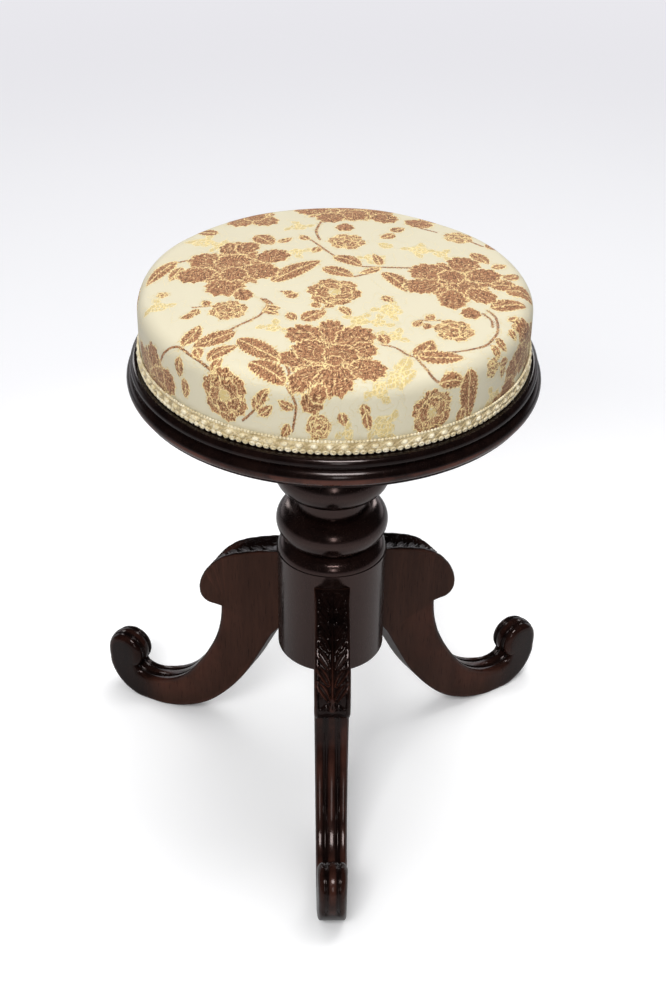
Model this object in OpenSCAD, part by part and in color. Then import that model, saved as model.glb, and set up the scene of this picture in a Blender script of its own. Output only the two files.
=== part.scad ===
// Revolving piano stool: round stuffed seat on a steel screw, turned column, three scroll legs.
// The origin is on the screw's axis at floor level. +Z is up, and the front leg points along -Y.

/* [Column] */
// Height of the column's foot above the floor
column_clear = 139.6; // [130:0.5:150]
// Radius of the plain cylindrical block that carries the legs
block_r = 48.8; // [46:0.2:52]
// Height of that block
block_h = 106.4; // [102:0.2:115]
// Radius of the rounded lower edge of the block
block_edge = 3.7; // [2:0.1:5]
// Radius of the thin ring above the block
ring_r = 49.8; // [47:0.2:54]
// Height of that ring
ring_h = 2.8; // [2:0.1:5]
// Height of the quarter round above the ring
ovolo_h = 13; // [10:0.5:15]
// Greatest radius of the large bulge
bulge_r = 50.1; // [46:0.1:54]
// Half the height of the bulge
bulge_h = 18.2; // [16:0.1:20]
// Radius of the necks between the turned members
neck_r = 33.5; // [30:0.5:35]
// Height of the neck above the bulge
neck_h = 14; // [8:0.5:18]
// Greatest radius of the upper boss
boss_r = 51.8; // [47:0.1:55]
// Half the height of the upper boss
boss_h = 20; // [17:0.5:22]
// Height of the plain shaft between the boss and the capital
shaft_h = 34; // [28:1:44]
// Radius of the capital under the seat
capital_r = 47; // [45:0.5:52]
// Height of the capital
capital_h = 29.8; // [26:0.2:36]

/* [Legs] */
// Distance from the screw's axis to the lowest point of a leg
belly_r = 199; // [190:1:208]
// Radius of the long curve that the leg rests on
belly_curve = 112; // [100:1:120]
// Radius of the lower edge above that curve
shin_curve = 239; // [200:1:280]
// Radius of the toe, from the floor up to the scroll
toe_curve = 47.5; // [44:0.5:52]
// Radius of the rolled scroll
scroll_r = 20.4; // [18:0.2:22]
// Distance from the axis to the top of the hollow, at the notch
notch_r = 109.5; // [104:0.5:114]
// Height of the notch above the floor
notch_z = 152.5; // [146:0.5:160]
// Radius of the round under the knee
lobe_r = 12.2; // [9:0.2:14]
// Thickness of the leg at the knee
knee_w = 32; // [28:0.5:36]
// Thickness of the leg where it meets the floor
foot_w = 26.6; // [23:0.2:28]
// Thickness of the scroll
scroll_w = 24.4; // [21:0.2:27]
// Width of the middle reed of the three that run down the hollow and round the scroll
reed_w = 8.4; // [7:0.2:10]
// Width of the cut between two reeds
reed_cut_w = 2.8; // [2:0.1:3.4]
// Depth of that cut
reed_depth = 1.4; // [0.8:0.1:1.8]
// Angle from the front leg round to the right leg
right_spread_angle = 122.4; // [116:0.1:124]
// Angle from the front leg round to the left leg
left_spread_angle = 117.3; // [116:0.1:124]

/* [Seat] */
// Greatest radius of the turned seat base
seat_r = 175; // [170:1:190]
// Thickness of the seat base
seat_base_t = 25; // [24:0.5:30]
// How far the cushion's side stands back from the rim of the seat base
cushion_inset = 11.5; // [9:0.5:17]
// Height of the cushion from the seat base to its shoulder
cushion_h = 61; // [56:0.5:75]
// Rise of the crown above the shoulder
crown_h = 7.5; // [4:0.5:12]
// Radius of the rounded shoulder
shoulder_r = 15; // [10:0.5:18]
// How far the side is drawn in where it is tacked
draw_in = 2.5; // [1:0.1:4]
// Height of the braid
braid_h = 13.7; // [11:0.1:16]
// Thickness of the braid
braid_t = 2.4; // [1.8:0.1:3]
// Number of tacks that hold the cover
tack_count = 40; // [24:2:60]

/* [Screw] */
// Radius of the steel screw
spindle_r = 12.5; // [11:0.1:13.5]
// Length of the screw below its plate
spindle_len = 163; // [155:1:180]
// Length of the nut's barrel
nut_len = 40; // [32:1:45]
// Thickness of the two iron plates
plate_t = 5; // [4:0.5:6]
// Radius of the plate under the seat
plate_r = 55; // [50:1:65]
// Thickness of the leather washer between the plates
washer_t = 3; // [2:0.2:4]

/* [Fits] */
// Radial clearance of the screw in its nut
running_fit = 0.06; // [0.03:0.01:0.1]
// Gap between flat faces that turn on each other
turning_gap = 0.2; // [0.1:0.05:0.4]
// Clearance of a tongue, a plate or a pin in its housing
joint_gap = 0.15; // [0.1:0.05:0.25]
// Gap between layers that don't touch
layer_gap = 0.3; // [0.2:0.05:0.5]

/* [Hidden] */

mahogany = "#2a1410";
mahogany_turned = "#1e0f0c";
iron = "#3b3a3a";
steel = "#8d8f92";
leather = "#8a5a34";
ply = "#c9a977";
foam = "#e8dfae";
wadding = "#f1efe8";
cloth = "#e6dcb6";
braid_gold = "#dccb97";
tack_blue = "#3c4452";

// How far a cut runs past the face that it opens
overrun = 1;
// Fineness of round parts
fine = 96;
small = 32;
// Degrees between the points of an arc
arc_step_angle = 6;

// Turned members, from the foot of the column upwards
block_top = column_clear + block_h;
ring_top = block_top + ring_h;
ovolo_top = ring_top + ovolo_h;
bulge_z = ovolo_top + bulge_h;
bulge_top = bulge_z + bulge_h;
boss_z = bulge_top + neck_h + boss_h;
boss_top = boss_z + boss_h;
shaft_top = boss_top + shaft_h;
column_top = shaft_top + capital_h;
ring_lip = ring_h * 0.3;
shaft_r = neck_r * 1.08;
collar_r = neck_r * 1.2;
collar_h = ring_h * 1.2;
cove_r = capital_h * 0.34;
astragal_r = capital_h * 0.27;

// Screw, nut and plates
nut_flange_r = spindle_r * 3;
nut_barrel_r = spindle_r * 1.6;
nut_screw_r = spindle_r * 2.35;
nut_bore_r = spindle_r + running_fit;
shaft_bore_r = spindle_r * 1.12;
washer_in = spindle_r * 1.05;
washer_out = spindle_r * 1.9;
washer_z = column_top + turning_gap;
plate_z = washer_z + washer_t + turning_gap;
hub_r = spindle_r * 1.5;
hub_h = plate_t * 3.2;
pin_r = plate_t * 0.5;
pin_z = plate_z + plate_t + (hub_h - plate_t) * 0.6;
plate_screw_ring = plate_r * 0.76;
screw_count = 4;

// Wood screws: shank radius, head radius and length of each kind
frame_screw = [2.2, 4.4, 20];
pad_screw = [2.2, 4.4, 30];
// A countersunk head's height as a share of its radius, and a point's length as one of its shank
head_share = 0.6;
point_share = 2.2;

// Seat
seat_z = plate_z + plate_t;
seat_top = seat_z + seat_base_t;
pad_screw_ring = seat_r * 0.66;
board_t = 9;
cover_t = 1.2;
wadding_t = 4;
cushion_r = seat_r - cushion_inset;
cushion_base = seat_top;
board_r = cushion_r - draw_in - cover_t - layer_gap;
board_top = cushion_base + board_t;
tack_z = cushion_base + braid_h * 0.5;
tack_head_r = 2.6;
tack_head_t = 0.7;
tack_shank_r = 0.8;
tack_len = 10;

// Radii and centres of the cushion's outline
side_rise = cushion_h - shoulder_r - cushion_h * 0.2;
side_curve = (side_rise * side_rise + draw_in * draw_in) / (2 * draw_in);
side_centre = [cushion_r - side_curve, cushion_base + side_rise];
side_start = asin(side_rise / side_curve);
shoulder_centre = [cushion_r - shoulder_r, cushion_base + cushion_h - shoulder_r];
crown_reach = shoulder_centre[0];
crown_curve = (crown_reach * crown_reach + crown_h * crown_h) / (2 * crown_h);
crown_angle = asin(crown_reach / crown_curve);

// Directions of the legs about the column, and those halfway between two legs
full_turn = 360;
front_angle = -90;
right_angle = front_angle + right_spread_angle;
left_angle = front_angle - left_spread_angle;
back_spread_angle = full_turn - right_spread_angle - left_spread_angle;
leg_angles = [front_angle, right_angle, left_angle];
gap_angles = [
    front_angle + right_spread_angle / 2, front_angle - left_spread_angle / 2,
    right_angle + back_spread_angle / 2
];

// Flat worn on the underside of each leg
foot_flat = belly_curve * 0.007;

// Leg outline, in the plane of the leg: first number outwards from the axis, second upwards.
// Each arc starts where the last one ends and leaves in the same direction. It is drawn with its
// notch at drawn_notch_r and its lowest point at drawn_r, then stretched outwards on each side of
// the notch, so that these two come to notch_r and belly_r.
drawn_notch_share = 0.7180328;
drawn_share = 1.8174;
drawn_notch_r = notch_z * drawn_notch_share;
drawn_r = drawn_notch_r * drawn_share;
root_stretch = (notch_r - block_r) / (drawn_notch_r - block_r);
toe_stretch = (belly_r - notch_r) / (drawn_r - drawn_notch_r);
function stretched(r) = r < drawn_notch_r
    ? block_r + (r - block_r) * root_stretch
    : notch_r + (r - drawn_notch_r) * toe_stretch;
function stretched_path(list) = [for (p = list) [stretched(p[0]), p[1]]];
function on(centre, r, a) = centre + r * [cos(a), sin(a)];
function next_centre(centre, r, a, next_r) = on(centre, r, a) - next_r * [cos(a), sin(a)];
function arc(centre, r, a0, a1) =
    let (steps = max(2, ceil(abs(a1 - a0) / arc_step_angle)))
    [for (i = [0:steps]) on(centre, r, a0 + (a1 - a0) * i / steps)];

belly_centre = [drawn_r, belly_curve - foot_flat];
belly_end_angle = 224;
shin_centre = next_centre(belly_centre, belly_curve, belly_end_angle, shin_curve);
shin_end_angle = 206;
shin_top = on(shin_centre, shin_curve, shin_end_angle);
// Height at which the lower edge meets the column, as a share of the block's height
shin_foot_share = 0.16435;
shin_foot_z = column_clear + block_h * shin_foot_share;
toe_centre = [drawn_r, toe_curve - foot_flat];
toe_end_angle = 365;
toe_reed_angle = 342;
scroll_centre = next_centre(toe_centre, toe_curve, toe_end_angle, scroll_r);
scroll_end_angle = 588;

// The hollow, from the notch down to the scroll
hollow_share = [1.1, 2.1, 0.64, 0.23];
hollow_radii = drawn_notch_r * hollow_share;
hollow_angles = [180, 204, 218, 260, 300];
hollow_start = [drawn_notch_r + hollow_radii[0], notch_z];
hollow_2 = next_centre(hollow_start, hollow_radii[0], hollow_angles[1], hollow_radii[1]);
hollow_3 = next_centre(hollow_2, hollow_radii[1], hollow_angles[2], hollow_radii[2]);
hollow_4 = next_centre(hollow_3, hollow_radii[2], hollow_angles[3], hollow_radii[3]);
hollow_centres = [hollow_start, hollow_2, hollow_3, hollow_4];

// The hollow's outline from the notch to the scroll, moved by shift into the wood
function hollow_path(shift, angles = hollow_angles) = [
    for (i = [0:3])
        each arc(hollow_centres[i], hollow_radii[i] + shift, angles[i], angles[i + 1])
];
// A cut between reeds runs a little further, under the scroll
hollow_cut_angles = [180, 204, 218, 260, 306];
function scroll_path(shift) = arc(scroll_centre, scroll_r - shift, toe_end_angle, scroll_end_angle);

// The reeded face from the toe up and round the scroll, moved by shift into the wood
function toe_path(shift) = concat(
    arc(toe_centre, toe_curve - shift, toe_reed_angle, toe_end_angle), scroll_path(shift)
);
leg_reach = stretched(scroll_centre[0] + scroll_r);
function reversed(list) = [for (i = [len(list) - 1:-1:0]) list[i]];

// The knee, from the round above the notch up to the column
lobe_centre = [drawn_notch_r + lobe_r * 0.89, notch_z - lobe_r * 0.12 + lobe_r];
knee_share = [3.1, 6.4, 20.5];
knee_radii = lobe_r * knee_share;
knee_angles = [0, 25, 63, 74];
knee_1 = lobe_centre + [lobe_r - knee_radii[0], lobe_r * 0.14];
knee_2 = next_centre(knee_1, knee_radii[0], knee_angles[1], knee_radii[1]);
knee_3 = next_centre(knee_2, knee_radii[1], knee_angles[2], knee_radii[2]);
knee_end = on(knee_3, knee_radii[2], knee_angles[3]);

// Width and depth of the two steps of a cut between reeds, as shares of the whole cut
reed_steps_share = [[1, 0.5], [0.5, 1]];

// Sliding dovetail: tongue depth, half-widths at its neck and at its back, and its top
tongue_depth = block_r * 0.3;
tongue_neck = knee_w * 0.22;
tongue_back = knee_w * 0.29;
tongue_top = block_top - block_h * 0.2;
tongue_r = block_r - tongue_depth;

// Iron brace under the column
brace_t = 2.5;
brace_r = block_r - block_edge - overrun;
brace_core = block_r * 0.62;
brace_arm = tongue_neck * 1.6;
brace_tongue_ring = block_r - tongue_depth * 0.55;
brace_wood_ring = block_r * 0.47;

module ring_of(count, r, start = 0) {
    for (i = [0:count - 1])
        rotate([0, 0, start + i * full_turn / count])
            translate([r, 0, 0])
                children();
}

// Repeats a child in each of the given directions, at distance r from the axis
module towards(angles, r) {
    for (a = angles)
        rotate([0, 0, a])
            translate([r, 0, 0])
                children();
}

// A countersunk wood screw standing head down, with its head's face at z = 0
module wood_screw(size, gap = 0) {
    r = size[0] + gap;
    head = size[1] + gap;
    head_h = size[1] * head_share;
    point_h = size[0] * point_share;
    cylinder(h = head_h, r1 = head, r2 = r, $fn = small);
    cylinder(h = size[2] - point_h, r = r, $fn = small);
    translate([0, 0, size[2] - point_h])
        cylinder(h = point_h, r1 = r, r2 = gap + size[0] * 0.2, $fn = small);
}

// The hole that a wood screw fills
module screw_hole(size) {
    wood_screw(size, joint_gap * 0.5);
    translate([0, 0, -overrun])
        cylinder(h = overrun * 1.5, r = size[1] + joint_gap * 0.5, $fn = small);
}

// Half outline of the column, turned about the screw's axis
module column_outline() {
    polygon(concat(
        [[0, column_clear]],
        arc([block_r - block_edge, column_clear + block_edge], block_edge, 270, 360),
        [[block_r, block_top], [ring_r, block_top], [ring_r, ring_top], [0, ring_top]]
    ));
    translate([0, ring_top])
        intersection() {
            translate([ring_r - ring_lip - ovolo_h, 0])
                circle(r = ovolo_h, $fn = fine);
            square([ring_r, ovolo_h]);
        }
    square_at(ring_r - ovolo_h, ring_top, ovolo_h);
    bead(bulge_r, bulge_z, bulge_h);
    square_at(neck_r, ovolo_top - overrun, bulge_top + neck_h - ovolo_top + overrun * 2);
    bead(boss_r, boss_z, boss_h);
    square_at(collar_r, boss_top - collar_h, collar_h * 2);
    square_at(shaft_r, boss_top, shaft_h + overrun);
    difference() {
        square_at(capital_r - astragal_r * 0.5, shaft_top - cove_r, cove_r + overrun);
        translate([shaft_r + cove_r, shaft_top - cove_r])
            circle(r = cove_r, $fn = fine);
    }
    square_at(capital_r - astragal_r * 0.5, shaft_top, capital_h);
    bead(capital_r, shaft_top + capital_h * 0.45, astragal_r);
}

// A plain stretch of the half outline
module square_at(r, z, h) {
    translate([0, z])
        square([r, h]);
}

// A round bead of the half outline that reaches out to r
module bead(r, z, h) {
    translate([r - h, z])
        circle(r = h, $fn = fine);
    square_at(r - h, z - h, h * 2);
}

// Plan of a dovetail along +X, grown by gap
module dovetail_plan(gap = 0) {
    back = tongue_r - gap;
    polygon([
        [back, -tongue_back - gap], [back, tongue_back + gap],
        [block_r, tongue_neck + gap], [block_r + overrun, tongue_neck + gap],
        [block_r + overrun, -tongue_neck - gap], [block_r, -tongue_neck - gap]
    ]);
}

module dovetail(gap, low) {
    translate([0, 0, low])
        linear_extrude(height = tongue_top + gap - low)
            dovetail_plan(gap);
}

module column() {
    color(mahogany_turned)
        difference() {
            rotate_extrude($fn = fine)
                column_outline();
            towards(leg_angles, 0)
                dovetail(joint_gap, column_clear - overrun);
            translate([0, 0, column_clear - overrun])
                cylinder(h = column_top, r = shaft_bore_r, $fn = fine);
            translate([0, 0, column_top - plate_t - nut_len - joint_gap])
                cylinder(h = nut_len + plate_t, r = nut_barrel_r + joint_gap, $fn = fine);
            translate([0, 0, column_top - plate_t])
                cylinder(h = plate_t + overrun, r = nut_flange_r + joint_gap, $fn = fine);
            translate([0, 0, column_top])
                ring_of(screw_count, nut_screw_r)
                    mirror([0, 0, 1])
                        screw_hole(frame_screw);
            translate([0, 0, column_clear - brace_t])
                towards(gap_angles, brace_wood_ring)
                    screw_hole(frame_screw);
        }
}

// Side view of a leg
module leg_outline() {
    polygon(concat(
        [
            [tongue_r, column_clear],
            [block_r - block_edge, column_clear],
            [block_r - block_edge, shin_foot_z]
        ],
        stretched_path(concat(
            arc(shin_centre, shin_curve, shin_end_angle, belly_end_angle),
            arc(belly_centre, belly_curve, belly_end_angle, 270),
            arc(toe_centre, toe_curve, 270, toe_end_angle),
            scroll_path(0),
            reversed(hollow_path(0)),
            arc(lobe_centre, lobe_r, 270, 360),
            arc(knee_1, knee_radii[0], knee_angles[0], knee_angles[1]),
            arc(knee_2, knee_radii[1], knee_angles[1], knee_angles[2]),
            arc(knee_3, knee_radii[2], knee_angles[2], knee_angles[3])
        )),
        [[tongue_r, knee_end[1]]]
    ));
}

// Turns a shape that is drawn in X and Y upright, into X and Z, centred on Y = 0
module upright(width) {
    rotate([90, 0, 0])
        linear_extrude(height = width, center = true)
            children();
}

// End view and plan that thin the leg towards the floor and towards the scroll
module leg_taper() {
    rotate([90, 0, 90])
        linear_extrude(height = leg_reach + overrun)
            polygon([
                [-foot_w / 2, -overrun], [foot_w / 2, -overrun],
                [knee_w / 2, notch_z + lobe_r], [knee_w / 2, ring_top],
                [-knee_w / 2, ring_top], [-knee_w / 2, notch_z + lobe_r]
            ]);
}

module leg_plan() {
    start = stretched(drawn_notch_r + lobe_r * 2);
    reach = leg_reach + overrun;
    linear_extrude(height = ring_top)
        polygon([
            [0, -knee_w / 2], [start, -knee_w / 2], [reach, -scroll_w / 2],
            [reach, scroll_w / 2], [start, knee_w / 2], [0, knee_w / 2]
        ]);
}

// The cut between two reeds: two steps deep, along the hollow, round the scroll and down the toe
module reed_cut(side) {
    for (step = reed_steps_share)
        translate([0, side * (reed_w + reed_cut_w) / 2, 0])
            upright(reed_cut_w * step[0]) {
                polygon(stretched_path(concat(
                    hollow_path(-overrun, hollow_cut_angles),
                    reversed(hollow_path(reed_depth * step[1], hollow_cut_angles))
                )));
                polygon(stretched_path(concat(
                    toe_path(-overrun), reversed(toe_path(reed_depth * step[1]))
                )));
            }
}

module leg(angle) {
    color(mahogany)
        rotate([0, 0, angle])
            difference() {
                intersection() {
                    upright(knee_w)
                        leg_outline();
                    leg_taper();
                    leg_plan();
                }
                difference() {
                    cylinder(h = ring_top, r = block_r, $fn = fine);
                    dovetail(0, 0);
                }
                for (side = [-1, 1])
                    reed_cut(side);
                translate([0, 0, column_clear - brace_t])
                    translate([brace_tongue_ring, 0, 0])
                        screw_hole(frame_screw);
            }
}

module leg_front() {
    leg(front_angle);
}

module leg_right() {
    leg(right_angle);
}

module leg_left() {
    leg(left_angle);
}

// Iron plate that ties the three tongues to the column
module brace_plate() {
    color(iron)
        translate([0, 0, column_clear - brace_t])
            difference() {
                union() {
                    cylinder(h = brace_t, r = brace_core, $fn = fine);
                    towards(leg_angles, 0)
                        translate([0, -brace_arm, 0])
                            cube([brace_r - brace_arm, brace_arm * 2, brace_t]);
                    towards(leg_angles, brace_r - brace_arm)
                        cylinder(h = brace_t, r = brace_arm, $fn = fine);
                }
                towards(gap_angles, brace_wood_ring)
                    screw_hole(frame_screw);
                towards(leg_angles, brace_tongue_ring)
                    screw_hole(frame_screw);
            }
}

module brace_screws() {
    color(steel)
        translate([0, 0, column_clear - brace_t]) {
            towards(gap_angles, brace_wood_ring)
                wood_screw(frame_screw);
            towards(leg_angles, brace_tongue_ring)
                wood_screw(frame_screw);
        }
}

// Flanged iron nut let into the top of the column
module nut_plate() {
    color(iron)
        difference() {
            union() {
                translate([0, 0, column_top - plate_t])
                    cylinder(h = plate_t, r = nut_flange_r, $fn = fine);
                translate([0, 0, column_top - plate_t - nut_len])
                    cylinder(h = nut_len + plate_t * 0.5, r = nut_barrel_r, $fn = fine);
            }
            translate([0, 0, column_top - plate_t - nut_len - overrun])
                cylinder(h = nut_len + plate_t + overrun * 2, r = nut_bore_r, $fn = fine);
            translate([0, 0, column_top])
                ring_of(screw_count, nut_screw_r)
                    mirror([0, 0, 1])
                        screw_hole(frame_screw);
        }
}

module nut_screws() {
    color(steel)
        translate([0, 0, column_top])
            ring_of(screw_count, nut_screw_r)
                mirror([0, 0, 1])
                    wood_screw(frame_screw);
}

module friction_washer() {
    color(leather)
        translate([0, 0, washer_z])
            difference() {
                cylinder(h = washer_t, r = washer_out, $fn = fine);
                translate([0, 0, -overrun])
                    cylinder(h = washer_t + overrun * 2, r = washer_in, $fn = fine);
            }
}

module spindle() {
    color(steel)
        difference() {
            union() {
                translate([0, 0, plate_z - spindle_len + spindle_r * 0.2])
                    cylinder(h = spindle_len + hub_h - spindle_r * 0.2, r = spindle_r, $fn = fine);
                translate([0, 0, plate_z - spindle_len])
                    cylinder(h = spindle_r * 0.2, r1 = spindle_r * 0.8, r2 = spindle_r, $fn = fine);
            }
            pin_bore(0);
        }
}

// Cross hole through the hub and the screw
module pin_bore(gap) {
    translate([0, 0, pin_z])
        rotate([0, 90, 0])
            cylinder(h = hub_r * 3, r = pin_r + gap, center = true, $fn = small);
}

module spindle_pin() {
    color(steel)
        translate([0, 0, pin_z])
            rotate([0, 90, 0])
                cylinder(h = hub_r * 2 - pin_r * 0.4, r = pin_r, center = true, $fn = small);
}

// Iron plate under the seat, with the hub that holds the screw
module spindle_plate() {
    color(iron)
        difference() {
            translate([0, 0, plate_z]) {
                cylinder(h = plate_t, r = plate_r, $fn = fine);
                cylinder(h = hub_h, r = hub_r, $fn = fine);
            }
            translate([0, 0, plate_z - overrun])
                cylinder(h = hub_h + overrun * 2, r = spindle_r, $fn = fine);
            pin_bore(0);
            translate([0, 0, plate_z])
                ring_of(screw_count, plate_screw_ring, 45)
                    screw_hole(frame_screw);
        }
}

module plate_screws() {
    color(steel)
        translate([0, 0, plate_z])
            ring_of(screw_count, plate_screw_ring, 45)
                wood_screw(frame_screw);
}

// Half outline of the moulded seat base: a lower bead, a cove and an upper round
module seat_outline() {
    lower = seat_base_t * 0.3;
    upper = seat_base_t * 0.2;
    cove = seat_base_t * 0.1;
    upper_r = seat_r - lower * 0.45;
    square_at(seat_r - lower, seat_z, seat_base_t);
    translate([seat_r - lower, seat_z + lower * 1.1])
        circle(r = lower, $fn = fine);
    square_at(seat_r - lower * 0.55, seat_z, lower);
    square_at(upper_r - cove, seat_z + lower, seat_base_t - lower - upper);
    translate([upper_r - upper, seat_z + seat_base_t - upper])
        circle(r = upper, $fn = fine);
}

module seat_base() {
    color(mahogany)
        difference() {
            rotate_extrude($fn = fine)
                seat_outline();
            translate([0, 0, seat_z - overrun])
                cylinder(h = hub_h - plate_t + joint_gap + overrun, r = hub_r + joint_gap, $fn = fine);
            translate([0, 0, plate_z])
                ring_of(screw_count, plate_screw_ring, 45)
                    screw_hole(frame_screw);
            translate([0, 0, seat_z])
                ring_of(screw_count, pad_screw_ring)
                    screw_hole(pad_screw);
        }
}

// Half outline of the cushion, drawn in by inset all round
module cushion_outline(inset, low) {
    polygon(concat(
        [[0, low], [on(side_centre, side_curve - inset, -side_start)[0], low]],
        arc(side_centre, side_curve - inset, -side_start, 0),
        arc(shoulder_centre, shoulder_r - inset, 0, 90 - crown_angle),
        arc([0, cushion_base + cushion_h + crown_h - crown_curve], crown_curve - inset,
            90 - crown_angle, 90)
    ));
}

// The solid of revolution inside that outline, above low
module cushion_form(inset, low) {
    intersection() {
        rotate_extrude($fn = fine)
            cushion_outline(inset, cushion_base - overrun);
        translate([0, 0, low])
            cylinder(h = cushion_h * 2, r = cushion_r * 2, $fn = fine);
    }
}

// Places a child, drawn along +Z, square to the cushion's side at the tacking line
module at_tacks() {
    tilt = asin((side_centre[1] - tack_z) / side_curve);
    r = side_centre[0] + side_curve * cos(tilt);
    for (i = [0:tack_count - 1])
        rotate([0, 0, (i + 0.5) * 360 / tack_count])
            translate([r, 0, tack_z])
                rotate([0, 90 + tilt, 0])
                    children();
}

module tack_hole() {
    translate([0, 0, -tack_len - tack_shank_r])
        cylinder(h = tack_len * 2, r = tack_shank_r + joint_gap * 0.5, $fn = small);
}

module pad_board() {
    color(ply)
        difference() {
            translate([0, 0, cushion_base])
                cylinder(h = board_t, r = board_r, $fn = fine);
            translate([0, 0, seat_z])
                ring_of(screw_count, pad_screw_ring)
                    screw_hole(pad_screw);
            at_tacks()
                tack_hole();
        }
}

module pad_screws() {
    color(steel)
        translate([0, 0, seat_z])
            ring_of(screw_count, pad_screw_ring)
                wood_screw(pad_screw);
}

module pad_foam() {
    color(foam)
        cushion_form(cover_t + wadding_t, board_top);
}

module pad_wadding() {
    color(wadding)
        difference() {
            cushion_form(cover_t, board_top);
            cushion_form(cover_t + wadding_t, board_top - overrun);
        }
}

module seat_cover() {
    color(cloth)
        difference() {
            cushion_form(0, cushion_base + layer_gap);
            cushion_form(cover_t, cushion_base - overrun);
            at_tacks()
                tack_hole();
        }
}

module cover_tacks() {
    color(tack_blue)
        at_tacks() {
            cylinder(h = tack_head_t, r = tack_head_r, $fn = small);
            translate([0, 0, tack_shank_r - tack_len])
                cylinder(h = tack_len - tack_shank_r, r = tack_shank_r, $fn = small);
            translate([0, 0, -tack_len])
                cylinder(h = tack_shank_r, r1 = tack_shank_r * 0.2, r2 = tack_shank_r, $fn = small);
        }
}

// Band glued over the tacks
module gimp_braid() {
    color(braid_gold)
        difference() {
            intersection() {
                cushion_form(-tack_head_t - layer_gap - braid_t, cushion_base + layer_gap);
                cylinder(h = cushion_base + braid_h, r = cushion_r * 2, $fn = fine);
            }
            cushion_form(-tack_head_t - layer_gap, cushion_base - overrun);
        }
}

column();
leg_front();
leg_right();
leg_left();
brace_plate();
brace_screws();
nut_plate();
nut_screws();
friction_washer();
spindle();
spindle_plate();
spindle_pin();
plate_screws();
seat_base();
pad_board();
pad_screws();
pad_foam();
pad_wadding();
seat_cover();
cover_tacks();
gimp_braid();
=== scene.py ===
"""Revolving piano stool: carved scroll legs, a turned column and a stuffed seat on a steel screw.

Lengths of the legs, cushion, braid and screw are in millimetres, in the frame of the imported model. Meshes,
lamps and finishes are in metres. CLOTH_MM is the width of the cloth that its UV square stands for.
"""

import logging
import math
from collections.abc import Callable, Iterable, Sequence
from dataclasses import dataclass, field
from enum import Enum

import bmesh
import bpy
import numpy as np
from mathutils import Matrix, Vector


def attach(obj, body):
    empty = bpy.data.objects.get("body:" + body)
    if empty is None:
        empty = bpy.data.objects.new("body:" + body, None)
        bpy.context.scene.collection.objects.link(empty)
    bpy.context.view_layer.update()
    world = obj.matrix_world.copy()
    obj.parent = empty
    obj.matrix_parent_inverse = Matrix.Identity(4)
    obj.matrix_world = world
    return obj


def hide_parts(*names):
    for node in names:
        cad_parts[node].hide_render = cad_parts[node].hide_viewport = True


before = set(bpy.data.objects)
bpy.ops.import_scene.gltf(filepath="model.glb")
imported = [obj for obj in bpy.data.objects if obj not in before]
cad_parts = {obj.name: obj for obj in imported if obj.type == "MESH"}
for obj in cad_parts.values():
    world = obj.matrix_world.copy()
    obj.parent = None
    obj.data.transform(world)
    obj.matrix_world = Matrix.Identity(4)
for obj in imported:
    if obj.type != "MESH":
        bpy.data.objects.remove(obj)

LOG = logging.getLogger("piano_stool")
MM = 0.001
FULL_TURN = math.tau
CLOTH_MM = 500.0

Point = tuple[float, float]
Point3 = tuple[float, float, float]
Colour = tuple[float, float, float, float]


class Body(str, Enum):
    """Moving bodies of the stool."""

    BASE = "base"
    WASHER = "washer"
    SEAT = "seat"


def srgb(red: float, green: float, blue: float) -> Colour:
    """Turns a colour as it is seen on a screen into the linear one that a shader takes.

    Args:
        red: Red from 0 to 255.
        green: Green from 0 to 255.
        blue: Blue from 0 to 255.

    Returns:
        Linear colour with full alpha.
    """
    parts = [c / 255.0 for c in (red, green, blue)]
    linear = [c / 12.92 if c <= 0.04045 else ((c + 0.055) / 1.055) ** 2.4 for c in parts]
    return (linear[0], linear[1], linear[2], 1.0)


def smooth_step(low: float, high: float, value: np.ndarray | float) -> np.ndarray | float:
    """Rises smoothly from 0 at low to 1 at high.

    Args:
        low: Value at which the rise starts.
        high: Value at which it ends.
        value: Value or values to look up.

    Returns:
        Share or shares from 0 to 1.
    """
    t = np.clip((value - low) / (high - low), 0.0, 1.0)
    return t * t * (3.0 - 2.0 * t)


def bell(value: float, middle: float, half: float) -> float:
    """Falls off smoothly from 1 on both sides of a middle, by half a width."""
    return math.exp(-(((value - middle) / half) ** 2))


# ---- Shader tools


class Value:
    """An output socket that can be reckoned with, each operation adding a Math node."""

    def __init__(self, graph: "ShaderGraph", socket: bpy.types.NodeSocket) -> None:
        """Keeps the socket and its graph."""
        self.graph = graph
        self.socket = socket

    def __add__(self, other: object) -> "Value":
        """Adds a value or socket."""
        return self.graph.math("ADD", self, other)

    def __sub__(self, other: object) -> "Value":
        """Takes a value or socket away."""
        return self.graph.math("SUBTRACT", self, other)

    def __rsub__(self, other: float) -> "Value":
        """Takes this away from a number."""
        return self.graph.math("SUBTRACT", other, self)

    def __mul__(self, other: object) -> "Value":
        """Multiplies by a value or socket."""
        return self.graph.math("MULTIPLY", self, other)

    def __abs__(self) -> "Value":
        """Drops the sign."""
        return self.graph.math("ABSOLUTE", self)


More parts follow.
